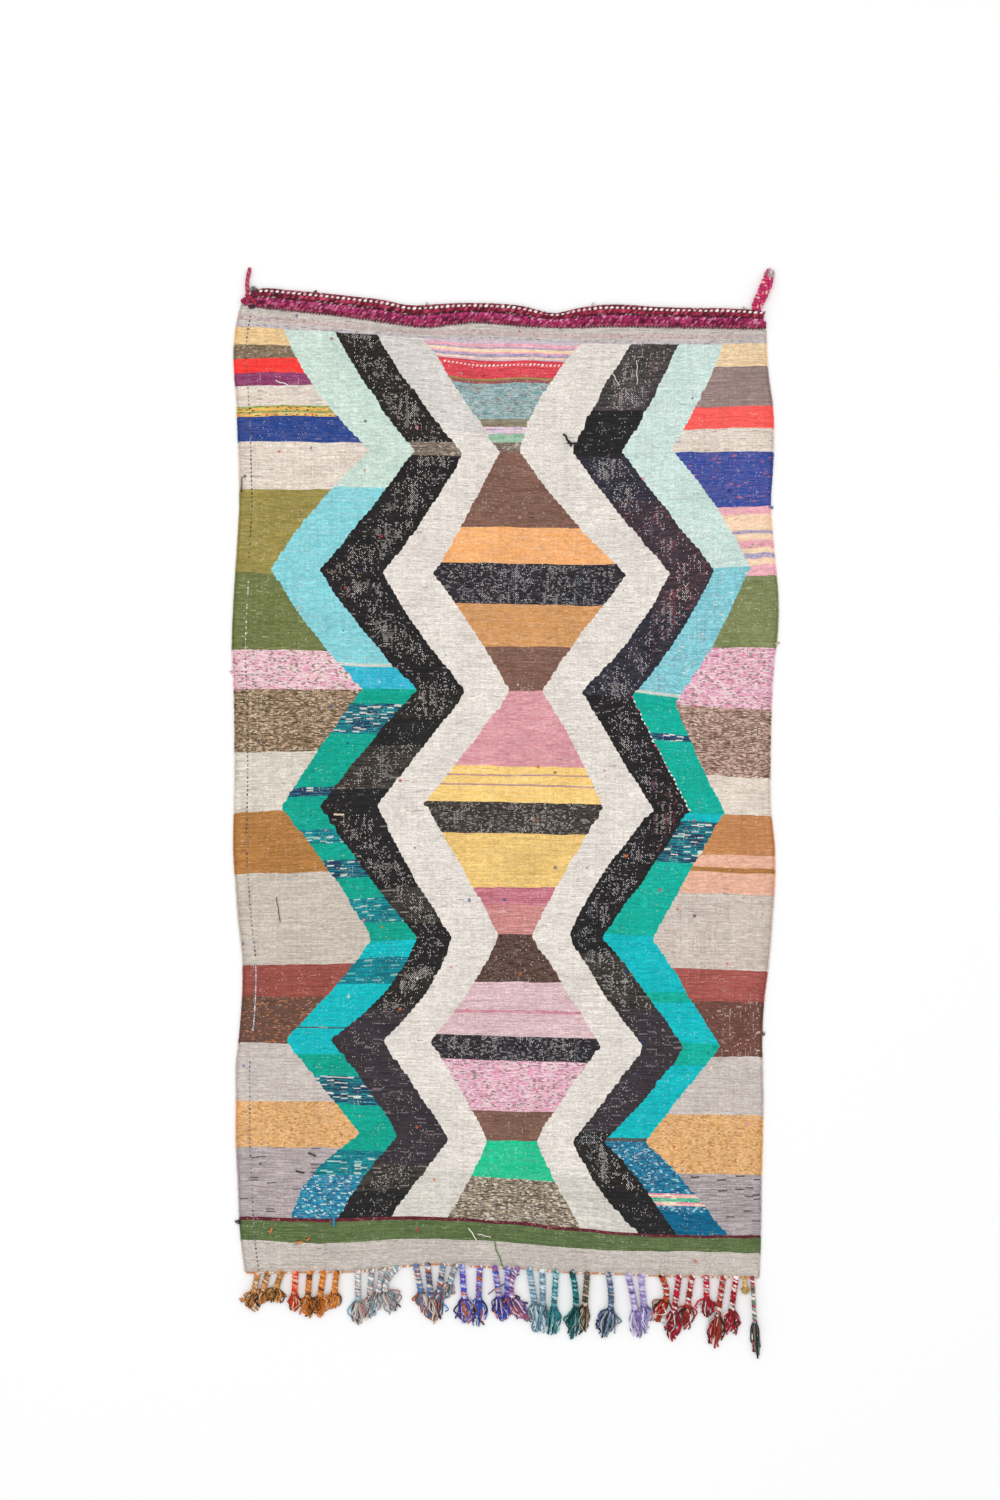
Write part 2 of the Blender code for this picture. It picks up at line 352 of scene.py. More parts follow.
# %% Zigzag lines
Turn = namedtuple("Turn", "row l0 l1 l2 l3 r3 r2 r1 r0")
TURNS = [
    Turn("start", -0.608, -0.468, -0.352, -0.231, 0.215, 0.347, 0.476, 0.602),
    Turn("turn_1", -0.369, -0.248, -0.116, -0.014, 0.041, 0.187, 0.322, 0.459),
    Turn("turn_2", -0.641, -0.509, -0.336, -0.195, 0.336, 0.454, 0.575, 0.674),
    Turn("turn_3", -0.391, -0.242, -0.107, 0.014, 0.102, 0.212, 0.347, 0.468),
    Turn("turn_4", -0.616, -0.509, -0.352, -0.223, 0.270, 0.410, 0.506, 0.605),
    Turn("turn_5", -0.366, -0.242, -0.146, -0.017, 0.072, 0.176, 0.267, 0.407),
    Turn("turn_6", -0.602, -0.481, -0.336, -0.206, 0.264, 0.382, 0.492, 0.591),
    Turn("turn_7", -0.396, -0.294, -0.154, -0.047, 0.085, 0.187, 0.272, 0.385),
    Turn("fell", -0.586, -0.457, -0.311, -0.157, 0.209, 0.366, 0.470, 0.611),
]
Bow = namedtuple("Bow", "l0 l1 l2 l3 r3 r2 r1 r0")  # millimetres, one row for each run
BOWS = [
    Bow(-30, -14, -19, 3, -28, -11, 8, 8),
    Bow(-22, 3, 14, 3, -14, -6, -3, 16),
    Bow(-19, -16, -14, 8, -11, 16, 14, 11),
    Bow(-3, -3, 6, 6, 8, -3, 3, -6),
    Bow(16, -6, -11, 6, -3, -19, 6, -3),
    Bow(6, 36, 30, 16, 0, -11, 6, 3),
    Bow(-6, 8, 0, 6, -6, 3, 14, 0),
    Bow(-36, -8, 3, 6, -6, -22, 14, 16),
]
STEP_ROWS = 3
STEP_SHARE = 0.5  # how much of a run is steps, and how much a straight slope
STEP_STRAY = 0.010  # how far a step may stray, as the weaver counted warps by eye
LINES = Bow._fields


def line_x(line, level):
    """Where a zigzag line crosses the row of that name."""
    level = min(max(level, LEVELS["fell"]), LEVELS["start"])
    for i, bow in enumerate(BOWS):
        high, low = TURNS[i], TURNS[i + 1]
        if level >= LEVELS[low.row]:
            break
    t = (LEVELS[high.row] - level) / (LEVELS[high.row] - LEVELS[low.row])
    straight = getattr(high, line) * (1 - t) + getattr(low, line) * t
    return straight + getattr(bow, line) / 1000 * 4 * t * (1 - t)


def stepped_x(line, index):
    """The same line as the mesh has it, in steps."""
    held = levels[(index // STEP_ROWS) * STEP_ROWS]
    lane = 3.0 * LINES.index(line)
    stray = 0.5 * noise.noise((lane, held / 0.06, 1.0)) + 0.5 * noise.noise((lane, held / 0.013, 4.0))
    straight = STEP_SHARE * line_x(line, held) + (1 - STEP_SHARE) * line_x(line, levels[index])
    return straight + STEP_STRAY * stray


print("the left lines at the first turn:", [line_x(n, LEVELS["turn_1"]) for n in LINES[:4]])

# %% [markdown]
# ## The yarn basket
# A yarn here is a ground colour with two more in it: flecks, which are thick and thin
# places or bits of another rag, and accents, which are rarer. Three shares say how it is
# mixed and beaten. `tweed` is the share of stitches that are fleck, `streak` the share of
# rows, and `open` how far the weave gapes, so that the warps show between its stitches.

# %% Yarns
Yarn = namedtuple("Yarn", "finish ground fleck accent tweed streak open")
YARNS = {
    # heading and hem
    "ash": Yarn("plain", "#cac4bc", "#bcb2a9", "#a08f88", 0.25, 0.30, 0.29),
    "ash_rose": Yarn("tweed", "#c9bab5", "#c8a8a5", "#a9a2a6", 0.30, 0.20, 0.32),
    "ash_lilac": Yarn("tweed", "#bfb6b9", "#cbc2c1", "#958c94", 0.25, 0.30, 0.26),
    "maroon": Yarn("tweed", "#6a2430", "#4c2028", "#8a4a50", 0.35, 0.20, 0.21),
    "grass": Yarn("plain", "#63754a", "#55673d", "#7f8c64", 0.25, 0.35, 0.21),
    "hem_cream": Yarn("plain", "#c9c1b9", "#bdb3aa", "#a3978c", 0.25, 0.25, 0.26),
    # golds and browns
    "straw": Yarn("plain", "#eac793", "#dfb985", "#8b7a4a", 0.25, 0.20, 0.15),
    "pale_straw": Yarn("plain", "#edd1aa", "#e0c097", "#c7a67a", 0.25, 0.20, 0.15),
    "camel": Yarn("plain", "#b57e46", "#a3713d", "#c9935c", 0.25, 0.25, 0.17),
    "camel_light": Yarn("plain", "#c58958", "#ba7f4e", "#d3a077", 0.25, 0.25, 0.17),
    "apricot": Yarn("plain", "#f2ab6b", "#f3b886", "#e99a58", 0.30, 0.30, 0.15),
    "amber": Yarn("plain", "#cc925b", "#d8a26f", "#b98150", 0.30, 0.30, 0.15),
    "yolk": Yarn("plain", "#f5cb78", "#f8d48c", "#e0bb7d", 0.30, 0.30, 0.14),
    "honey": Yarn("plain", "#eec87d", "#e3bc71", "#f5d796", 0.30, 0.30, 0.15),
    "peach": Yarn("plain", "#e2ad92", "#edbba3", "#cc9478", 0.30, 0.25, 0.21),
    "gold_tweed": Yarn("tweed", "#dba66c", "#ecbd88", "#bd8750", 0.35, 0.25, 0.43),
    "bark": Yarn("plain", "#785649", "#8b695b", "#5f4136", 0.30, 0.30, 0.22),
    "bark_dark": Yarn("tweed", "#563e36", "#6f574d", "#382b29", 0.35, 0.30, 0.29),
    "rust_bark": Yarn("tweed", "#725146", "#644539", "#b5744e", 0.30, 0.30, 0.26),
    "pale_bark": Yarn("peppered", "#734c43", "#65423a", "#c8aaa2", 0.25, 0.25, 1.00),
    "brick": Yarn("plain", "#9d544b", "#91493f", "#b67467", 0.30, 0.30, 0.21),
    "brick_light": Yarn("plain", "#ab5d55", "#9c5049", "#c1796f", 0.30, 0.30, 0.21),
    "moth_tweed": Yarn("tweed", "#a98e74", "#5a4a36", "#d0b89e", 0.38, 0.33, 0.71),
    "rose_tweed": Yarn("tweed", "#bb9c8c", "#715446", "#dcc2b4", 0.38, 0.33, 0.63),
    "foot_tweed": Yarn("tweed", "#a69682", "#4f4338", "#dacfbc", 0.42, 0.25, 0.71),
    "flint": Yarn("tweed", "#8a7862", "#705f48", "#a8927e", 0.35, 0.30, 0.29),
    "taupe": Yarn("plain", "#9d8883", "#927c77", "#b29b96", 0.30, 0.35, 0.22),
    # reds, pinks and purples
    "scarlet": Yarn("plain", "#f83a36", "#f14c46", "#b53a34", 0.30, 0.25, 0.10),
    "coral": Yarn("plain", "#fa655e", "#f85852", "#f69a90", 0.30, 0.25, 0.17),
    "plum": Yarn("plain", "#873662", "#9a5478", "#6c3274", 0.30, 0.30, 0.25),
    "rose": Yarn("plain", "#d6939b", "#e0a5aa", "#c88089", 0.30, 0.30, 0.21),
    "raspberry": Yarn("plain", "#cd838e", "#bc6a77", "#e0a9ad", 0.30, 0.35, 0.22),
    "salmon": Yarn("streaked", "#d29391", "#c27d78", "#dfaeab", 0.30, 0.45, 0.22),
    "blush": Yarn("plain", "#dec0c4", "#d0acaf", "#ead3d3", 0.25, 0.25, 0.32),
    "blush_rag": Yarn("tweed", "#e9d2d0", "#e59bb6", "#7d7468", 0.30, 0.30, 0.50),
    "blush_speck": Yarn("tweed", "#e8c9d0", "#e190b0", "#8b7a78", 0.32, 0.30, 0.45),
    "magenta_line": Yarn("streaked", "#c2788c", "#d3a0aa", "#a95f78", 0.30, 0.50, 0.21),
    "mauve_line": Yarn("streaked", "#c39a8c", "#b28a90", "#dfb985", 0.30, 0.50, 0.21),
    "pomegranate": Yarn("plain", "#de4f58", "#c93f4c", "#e58a86", 0.25, 0.35, 0.15),
    "red_dashes": Yarn("plain", "#e05a60", "#d64c54", "#f3d6cc", 0.25, 0.20, 0.15),
    "dull_red": Yarn("streaked", "#a4625f", "#8a5350", "#c08d88", 0.30, 0.45, 0.22),
    "haze": Yarn("plain", "#c9bfcb", "#d8b8c6", "#a9a3b8", 0.30, 0.35, 0.30),
    "candy": Yarn("plain", "#e9a6b6", "#f0b8bb", "#d58fa6", 0.30, 0.35, 0.15),
    "denim": Yarn("tweed", "#aba3bf", "#c5abc0", "#8a86a8", 0.35, 0.30, 0.20),
    "shell": Yarn("plain", "#f3cdb0", "#f5dcb8", "#eeb08f", 0.30, 0.35, 0.12),
    "candy_speck": Yarn("tweed", "#e6a0ad", "#f0c0b4", "#8b7f80", 0.30, 0.30, 0.35),
    "leaf": Yarn("tweed", "#8aa258", "#b5b060", "#5c7a40", 0.30, 0.30, 0.10),
    "yolk_dash": Yarn("tweed", "#eec465", "#e9a85a", "#5f5038", 0.30, 0.25, 0.15),
    "ember": Yarn("tweed", "#ea9d62", "#f0d08a", "#c9d3a0", 0.35, 0.30, 0.10),
    "heather": Yarn("streaked", "#b9adad", "#a39799", "#4a484e", 0.30, 0.35, 0.35),
    "heather_dark": Yarn("streaked", "#b5aaac", "#988e90", "#3a383e", 0.30, 0.40, 0.35),
    # whites and greys
    "cream": Yarn("plain", "#e5ded6", "#dcd3ca", "#b9aca1", 0.25, 0.25, 0.32),
    "cream_grey": Yarn("plain", "#d9d4cf", "#cec8c2", "#aea6a0", 0.25, 0.25, 0.33),
    "cream_low": Yarn("plain", "#d8d3ca", "#cbc5bb", "#aaa298", 0.25, 0.25, 0.33),
    "milk": Yarn("plain", "#e3d7ca", "#d8c9bb", "#a99a8e", 0.25, 0.25, 0.33),
    "milk_cool": Yarn("plain", "#dcd4c7", "#d0c7b9", "#b3a999", 0.25, 0.25, 0.33),
    "mist": Yarn("plain", "#ccc2b6", "#c1b5a8", "#a6998c", 0.25, 0.30, 0.26),
    "mist_pink": Yarn("plain", "#d2c6bc", "#c5b6ab", "#ae9d93", 0.25, 0.30, 0.80),
    "pearl": Yarn("plain", "#cdc4bd", "#c1b6af", "#aea19a", 0.25, 0.30, 0.26),
    "slate_mix": Yarn("tweed", "#a9bab8", "#7ba2a8", "#8d7f78", 0.35, 0.35, 0.45),
    "sage_line": Yarn("streaked", "#86b49b", "#a3c2a8", "#c9a8b8", 0.30, 0.40, 0.20),
    "lilac_line": Yarn("streaked", "#dcb9c9", "#e5d3dc", "#a99ac0", 0.30, 0.40, 0.20),
    "earth_line": Yarn("streaked", "#806a5e", "#8f8b70", "#b3a196", 0.30, 0.55, 0.26),
    # blacks
    "ink": Yarn("peppered", "#1e1c1e", "#2f2b2d", "#8b8580", 0.30, 0.25, 1.20),
    "ink_brown": Yarn("peppered", "#22201e", "#35312d", "#8b857b", 0.30, 0.25, 1.50),
    "ink_streak": Yarn("streaked", "#2b2825", "#4b453f", "#8a827b", 0.30, 0.35, 1.00),
    "ink_plain": Yarn("plain", "#1f1e20", "#2c2a2a", "#5d5a57", 0.30, 0.30, 0.28),
    "ink_plum": Yarn("streaked", "#413a40", "#332d31", "#766b70", 0.30, 0.40, 0.40),
    "ink_heather": Yarn("tweed", "#242126", "#3d383e", "#7c7678", 0.35, 0.30, 1.10),
    "ink_centre": Yarn("tweed", "#332c2a", "#544b45", "#8b837c", 0.35, 0.30, 1.00),
    "smoke": Yarn("peppered", "#3a3534", "#575150", "#837c79", 0.35, 0.30, 1.40),
    "aubergine": Yarn("peppered", "#352b32", "#4d4047", "#8c525e", 0.35, 0.30, 1.20),
    "ink_slate": Yarn("peppered", "#28262e", "#3e3b46", "#7b7880", 0.35, 0.30, 1.30),
    "sand_mix": Yarn("tweed", "#8f8073", "#6c5e53", "#b5a89b", 0.40, 0.35, 0.38),
    # greens and blues
    "olive": Yarn("plain", "#918546", "#a89656", "#7e783c", 0.30, 0.30, 0.17),
    "moss": Yarn("plain", "#67713f", "#7b8252", "#97a06f", 0.30, 0.30, 0.19),
    "moss_light": Yarn("plain", "#778052", "#888e61", "#a0a27a", 0.30, 0.30, 0.19),
    "emerald": Yarn("plain", "#1cc08c", "#3ac497", "#12a877", 0.30, 0.30, 0.19),
    "cobalt": Yarn("plain", "#234289", "#45538f", "#8277a0", 0.30, 0.30, 0.26),
    "cobalt_red": Yarn("peppered", "#354b97", "#5c60a2", "#c06a80", 0.30, 0.30, 0.36),
    "mint": Yarn("plain", "#c3d9cd", "#d3e0d6", "#a8c4b6", 0.30, 0.25, 0.29),
    "mint_cool": Yarn("plain", "#c6ddd7", "#d6e4de", "#aac9c2", 0.30, 0.25, 0.29),
    "turquoise": Yarn("plain", "#7fccd4", "#95d4d8", "#62b4bd", 0.30, 0.30, 0.25),
    "turquoise_pale": Yarn("peppered", "#8ccfd9", "#79bfca", "#c9e0df", 0.35, 0.25, 0.70),
    "pale_line": Yarn("streaked", "#cfd8cf", "#b9c9c4", "#e2dcd0", 0.30, 0.40, 0.21),
    "sea": Yarn("plain", "#049c86", "#12ab96", "#05806f", 0.30, 0.30, 0.10),
    "sea_bright": Yarn("plain", "#04a893", "#18b5a2", "#068c7a", 0.30, 0.30, 0.10),
    "lagoon": Yarn("dashed", "#1b8f94", "#0c6a79", "#b8d0c8", 0.20, 0.45, 0.40),
    "storm": Yarn("dashed", "#1d8c92", "#243a58", "#dfdcd4", 0.25, 0.50, 0.45),
    "storm_line": Yarn("dashed", "#2c7480", "#22345a", "#ece4de", 0.30, 0.55, 0.50),
    "peacock": Yarn("plain", "#06b2b8", "#18c0c8", "#0894a0", 0.30, 0.30, 0.10),
    "peacock_blue": Yarn("streaked", "#12919d", "#0e6f7c", "#8bbcbb", 0.25, 0.50, 0.46),
    "sky": Yarn("plain", "#2bb0cb", "#46bccf", "#1796b4", 0.30, 0.30, 0.21),
    "dark_line": Yarn("streaked", "#2c6c6e", "#5f4a46", "#a3bdb6", 0.30, 0.50, 0.29),
    "azure_speck": Yarn("tweed", "#3394b0", "#1c5f88", "#cfdcd8", 0.36, 0.30, 0.80),
    "azure_deep": Yarn("tweed", "#2c84a4", "#165478", "#a8ccd4", 0.36, 0.30, 0.90),
    "candy_line": Yarn("plain", "#e08c9c", "#efdcc0", "#f4ecd8", 0.30, 0.40, 0.15),
    "leaf_line": Yarn("plain", "#3fae86", "#7cc0a0", "#ecdcae", 0.30, 0.40, 0.15),
    "ocean": Yarn("plain", "#04587a", "#0e6c92", "#3f88a0", 0.30, 0.30, 0.12),
}
print(len(YARNS), "yarns")

# %% [markdown]
# ## Stripes
# Each field is woven as a stack of stripes, and the weaver simply ends one yarn and takes
# up the next. So a field is written as it would be counted at the loom: the yarn, then how
# tall its stripe is in millimetres, from the top down.

# %% Stripes, from the top down
FIELDS = {
    "left": """straw 52 flint 36 scarlet 38 plum 38 milk 55 leaf 5 yolk_dash 9 leaf 4 ember 5
        yolk_dash 4 cobalt 69 milk 132 olive 231 moss 209 blush_rag 110 moth_tweed 173
        milk_cool 162 camel 173 mist 248 brick 88 rust_bark 126 pearl 160 gold_tweed 129
        heather 187""",
    "left_teal": """mint 426 turquoise 481 pale_line 8 sky 63 sea 41 storm 83 sea 146
        storm_line 22 sea 94 lagoon 36 sea 52 storm 50 sea 55 lagoon 69 sea 55 peacock 41
        peacock_blue 69 peacock 118 dark_line 6 peacock 72 sea 58 storm 77 sea 124 lagoon 69
        azure_speck 113""",
    "left_black": """ink_brown 290 sand_mix 36 ink 640 ink_brown 90 ink_plain 70 ink_streak 120
        ink_plain 70 ink 205 ink_streak 100 ink 130 ink_brown 100 ink_plum 430 ink_streak 70
        ink_plain 300""",
    "left_cream": "cream_grey 250 cream 2040 cream_low 200",
    "centre": """haze 9 candy 8 denim 5 shell 9 candy 4 denim 9 shell 4 haze 4 pomegranate 12
        red_dashes 7 pomegranate 33 olive 6 dull_red 8 slate_mix 99 earth_line 19 lilac_line 19
        sage_line 22 sand_mix 28 bark 206 apricot 99 ink_heather 113 amber 116 bark 124 rose 204
        yolk 25 mauve_line 5 yolk 22 mauve_line 5 yolk 44 ink_centre 85 honey 151 raspberry 47
        salmon 83 bark_dark 129 blush 77 magenta_line 9 blush 63 ink_heather 66 blush_speck 140
        bark 83 emerald 102 foot_tweed 200""",
    "right_cream": "cream 2290 cream_low 200",
    "right_black": """smoke 180 ink_plain 125 ink_slate 125 aubergine 302 ink_slate 248 ink 700
        ink_streak 150 ink_plum 340 ink_brown 160 ink_plain 200""",
    "right_teal": """mint_cool 619 turquoise_pale 347 pale_line 6 sea_bright 105 storm_line 17
        sea_bright 193 peacock 25 storm 116 sea_bright 204 peacock 149 sea_bright 28 peacock 110
        sea_bright 61 peacock 206 dark_line 8 azure_deep 146 candy_line 7 leaf_line 14
        candy_line 6 azure_deep 20 ocean 100""",
    "right": """pale_straw 63 taupe 110 coral 61 milk 61 cobalt_red 151 candy 24 shell 42 denim 10
        shell 18 candy 7 candy_speck 16 shell 13 denim 12 shell 20 candy 33 moss_light 193
        blush_speck 171 rose_tweed 190 milk 105 camel_light 107 peach 39 camel 11 peach 58
        mist_pink 209 brick_light 88 pale_bark 149 pearl 165 gold_tweed 160 heather_dark 200""",
}
HEADING = "ash 18 ash_rose 14 ash 6 ash_lilac 60"
FOOTING = "maroon 11 grass 49 hem_cream 140"
FIELD_NAMES = list(FIELDS)
# Where across the rug each field's stripes were counted.
COUNTED_AT = (-0.70, -0.45, -0.36, -0.25, 0.0, 0.26, 0.40, 0.50, 0.70)
COLUMNS = (12, 5, 5, 5, 12, 5, 5, 5, 12)  # columns of faces in each field


def stripes(text, top, at):
    """The yarn of every mesh row, for stripes stacked down from a place at x = at."""
    words = text.split()
    bottoms = top - np.cumsum([float(tall) / 1000 for tall in words[1::2]])
    heights = np.array([weft_y(at, level) for level in (levels[:-1] + levels[1:]) / 2])
    picked = [int(np.argmax(bottoms < y)) if y > bottoms[-1] else -1 for y in heights]
    return [words[0::2][i] for i in picked]


def field_rows(name, at):
    """A field's yarns row by row, with the heading above it and the footing below."""
    head = stripes(HEADING, HEAD, 0.0)
    body = stripes(FIELDS[name], weft_y(at, LEVELS["start"]), at)
    foot = stripes(FOOTING, LEVELS["fell"], 0.0)
    rows = []
    for index in range(len(levels) - 1):
        level = (levels[index] + levels[index + 1]) / 2
        above, below = level > LEVELS["start"], level < LEVELS["fell"]
        rows.append(head[index] if above else foot[index] if below else body[index])
    return rows


row_yarns = [field_rows(name, at) for name, at in zip(FIELD_NAMES, COUNTED_AT)]
print("the first rows of the left field:", row_yarns[0][-14:-8])

# %% [markdown]
# ## Weaving the sheet
# The cloth is one grid: its rows follow the weft and its columns follow the zigzags, so
# every change of yarn falls on an edge of the mesh and stays sharp from any distance. The
# same grid is laid again underneath and stitched round the rim, which makes a closed
# sheet with the pattern on both faces, as a flat weave has. A slow unevenness in its
# thickness stands for the thick and thin rags inside.

# %% The grid
LUMP_HIGH = 0.0011
LUMP_SIZE = 0.06
RIM_THIN = 0.6  # the cloth's edge is this share of its full thickness
SELVEDGE = 0.73  # about how far out the selvedges lie, to read a row's height there


def grid_xs(index):
    """The x of every column on one row: selvedge, eight zigzag lines, selvedge."""
    level = levels[index]
    knots = [sides_at(weft_y(-SELVEDGE, level))[0]]
    knots += [stepped_x(line, index) for line in LINES]
    knots.append(sides_at(weft_y(SELVEDGE, level))[1])
    xs = [knots[0]]
    for low, high, count in zip(knots, knots[1:], COLUMNS):
        xs += [low + (high - low) * k / count for k in range(1, count + 1)]
    return xs


def lumps(x, y):
    """How much thicker the cloth is here."""
    return LUMP_HIGH * (
        0.6 * noise.noise((x / LUMP_SIZE, y / LUMP_SIZE, 0.0))
        + 0.4 * noise.noise((x / LUMP_SIZE * 3, y / LUMP_SIZE * 3, 5.0))
    )


row_count, column_count = len(levels), sum(COLUMNS) + 1
top_points = []
for index, level in enumerate(levels):
    xs = grid_xs(index)
    for column, x in enumerate(xs):
        rim = index in (0, row_count - 1) or column in (0, column_count - 1)
        thick = CLOTH_THICK * (RIM_THIN if rim else 1.0)
        y = float(weft_y(x, level)) + ripple(x, level)
        top_points.append((x, y, thick + (0.0 if rim else lumps(x, y))))
top_points = np.array(top_points)
under_points = top_points * (1, 1, 0)
print(row_count, "by", column_count, "points, z up to", round(top_points[:, 2].max(), 4))

# %% [markdown]
# ## The warps
# The warps run the whole length and end in the tassels. Their yarn changes from side to
# side: tan and orange, then greys, blues and violets, lilac, and reds at the right. Where
# a weft is packed loosely they show between its stitches as rows of small dots, most of
# all on the blacks.

# %% Warp colours
WARP_DYES = (
    (-0.74, "#a08468"),
    (-0.64, "#b98058"),
    (-0.50, "#c08a62"),
    (-0.40, "#b0a5a2"),
    (-0.28, "#c3b6ae"),
    (-0.15, "#ab9b97"),
    (-0.02, "#a197a6"),
    (0.08, "#a9afb8"),
    (0.18, "#7f9494"),
    (0.30, "#a39aa8"),
    (0.38, "#9d8cab"),
    (0.44, "#a5545c"),
    (0.54, "#ad5258"),
    (0.64, "#b5726a"),
    (0.74, "#a9605e"),
)
warp_places = [place for place, code in WARP_DYES]
warp_table = np.array([dye(code) for place, code in WARP_DYES])


def warp_colour(xs):
    """The colour of the warps at each x."""
    return np.stack([np.interp(xs, warp_places, warp_table[:, c]) for c in range(4)], axis=-1)


print("warps at the right edge:", warp_colour(np.array([0.7])).round(3))

# %% [markdown]
# ## From grid to mesh
# Each face carries its yarn as three colours and three shares, written on its corners,
# and its finish as a material slot. The points carry where they are on the loom: along
# the weft, along the warp, and a number of their own for each face of the sheet, so that
# the weave runs true however the cloth waves. The cloth also gets a map of its own, the
# upper face laid out large and the under face smaller beside it, for whoever bakes it.

# %% The woven mesh
FINISHES = ("plain", "streaked", "dashed", "tweed", "peppered")
UPPER_SCALE = 0.365  # map units for each metre of cloth
UNDER_SCALE = 0.275
MAP_MARGIN = 0.01
UNDER_SALT = 3.7  # gives the under face chances of its own


def grid_faces(start, flip):
    """Quads over one layer of the grid, whose first point has the given index."""
    rows, columns = np.arange(row_count - 1), np.arange(column_count - 1)
    row, column = np.meshgrid(rows, columns, indexing="ij")
    a = (start + row * column_count + column).ravel()
    quad = np.stack([a, a + 1, a + 1 + column_count, a + column_count], axis=1)
    return quad[:, ::-1] if flip else quad


def rim_faces():
    """Quads between the two layers, round all four edges."""
    below = row_count * column_count
    last_row, last_column = (row_count - 1) * column_count, column_count - 1
    ring = list(range(last_column))
    ring += [r * column_count + last_column for r in range(row_count - 1)]
    ring += [last_row + c for c in range(last_column, 0, -1)]
    ring += [r * column_count for r in range(row_count - 1, 0, -1)]
    pairs = zip(ring, ring[1:] + ring[:1])
    return np.array([(a + below, b + below, b, a) for a, b in pairs])


upper = grid_faces(0, flip=False)
under = grid_faces(len(top_points), flip=True)
rim = rim_faces()
quads = np.concatenate([upper, under, rim])
points = np.concatenate([top_points, under_points])
cloth_mesh = bpy.data.meshes.new("woven_field")
cloth_mesh.from_pydata(points.tolist(), [], quads.tolist())

field_of_column = np.repeat(np.arange(len(COLUMNS)), COLUMNS)
yarn_list = list(YARNS)
row_numbers = np.array([[yarn_list.index(name) for name in rows] for rows in row_yarns])
upper_yarn = row_numbers[field_of_column].T.ravel()
rim_rows = np.clip(rim[:, 3] // column_count, 0, row_count - 2)
rim_columns = np.clip(rim[:, 3] % column_count, 0, column_count - 2)
rim_yarn = upper_yarn[rim_rows * (column_count - 1) + rim_columns]
face_yarn = np.concatenate([upper_yarn, upper_yarn, rim_yarn])

for layer in ("ground", "fleck", "accent"):
    palette = np.array([dye(getattr(yarn, layer)) for yarn in YARNS.values()])
    store(cloth_mesh, layer, "FLOAT_COLOR", "CORNER", np.repeat(palette[face_yarn], 4, axis=0))
shares = np.array([(yarn.tweed, yarn.streak, yarn.open) for yarn in YARNS.values()])
store(cloth_mesh, "shares", "FLOAT_VECTOR", "CORNER", np.repeat(shares[face_yarn], 4, axis=0))
slots = np.array([FINISHES.index(yarn.finish) for yarn in YARNS.values()])
cloth_mesh.polygons.foreach_set("material_index", slots[face_yarn])

loom = points.copy()
loom[:, 1] = np.tile(np.repeat(levels, column_count), 2)
loom[:, 2] = np.repeat((0.0, UNDER_SALT), len(top_points))
store(cloth_mesh, "loom", "FLOAT_VECTOR", "POINT", loom)
store(cloth_mesh, "warp", "FLOAT_COLOR", "POINT", warp_colour(points[:, 0]))

# The two columns next to a zigzag line keep their warps covered, so its edge stays firm.
edge_columns = np.concatenate([[0], np.cumsum(COLUMNS)])
from_edge = np.abs(np.arange(column_count)[:, None] - edge_columns[None, :]).min(axis=1)
inside = np.tile(np.minimum(from_edge, 2) / 2, 2 * row_count)
store(cloth_mesh, "inside", "FLOAT", "POINT", inside)

low = points.min(axis=0)
upper_map = (points[:, [1, 0]] - low[[1, 0]]) * UPPER_SCALE + MAP_MARGIN
under_map = (points[:, [1, 0]] - low[[1, 0]]) * UNDER_SCALE + MAP_MARGIN
under_map[:, 1] += upper_map[:, 1].max() + MAP_MARGIN
corner_points = quads.ravel()
is_upper = np.repeat(np.arange(len(quads)) < len(upper), 4)
bake_map = np.where(is_upper[:, None], upper_map[corner_points], under_map[corner_points])
cloth_mesh.uv_layers.new(name="OFBake").data.foreach_set("uv", bake_map.ravel())
cloth_mesh.shade_smooth()
cloth_mesh.update()
cloth = add_object("woven_field", cloth_mesh)
print(2 * len(quads), "triangles; the map reaches", bake_map.max(axis=0).round(3))

# %% [markdown]
# ## The weave as a material
# Weft-faced cloth is rows of little humps, each where a weft passes over a warp, and each
# row half a step along from the last. The shader finds which hump a point is on, and gives
# that hump its own chance numbers: they choose ground, fleck or accent and a touch of
# light or dark. Between two humps lies a gap, where a warp may show. Whole rows vary too,
# since a yarn changes slowly along its length. All of it reads the loom coordinates, so
# the pattern stays on the cloth.

# %% Cloth materials
WARP = 0.0054  # spacing of the warps on one row
WEFT = 0.0032  # spacing of the weft rows
GAP = 0.68  # a gap is where the hump has fallen to this height
OPEN_MOST = 0.62  # the share of gaps that are open where the weave gapes most
FLECK_COVER = 0.7  # how far a fleck hides its ground
BIT_COVER = 0.85
SHADE_OF_STITCH = (0.24, 0.88)  # each stitch's swing from light to dark, and its darkest
SHADE_OF_DASH = (0.20, 0.90)
# fleck_long in warps, streak_long in metres, bits a share of dashes, hump in metres
Weave = namedtuple("Weave", "fleck_long streak_long bits hump")
WEAVES = {
    "plain": Weave(3.0, 0.16, 0.006, 0.0009),
    "streaked": Weave(4.5, 0.09, 0.04, 0.0009),
    "dashed": Weave(3.5, 0.07, 0.11, 0.0009),
    "tweed": Weave(1.4, 0.035, 0.13, 0.0011),
    "peppered": Weave(2.0, 0.10, 0.02, 0.0011),
}
NUB_DYES = ("#c9622f", "#b8394a", "#2f4a86", "#d98aa0", "#2c2a2b", "#e8dccb")


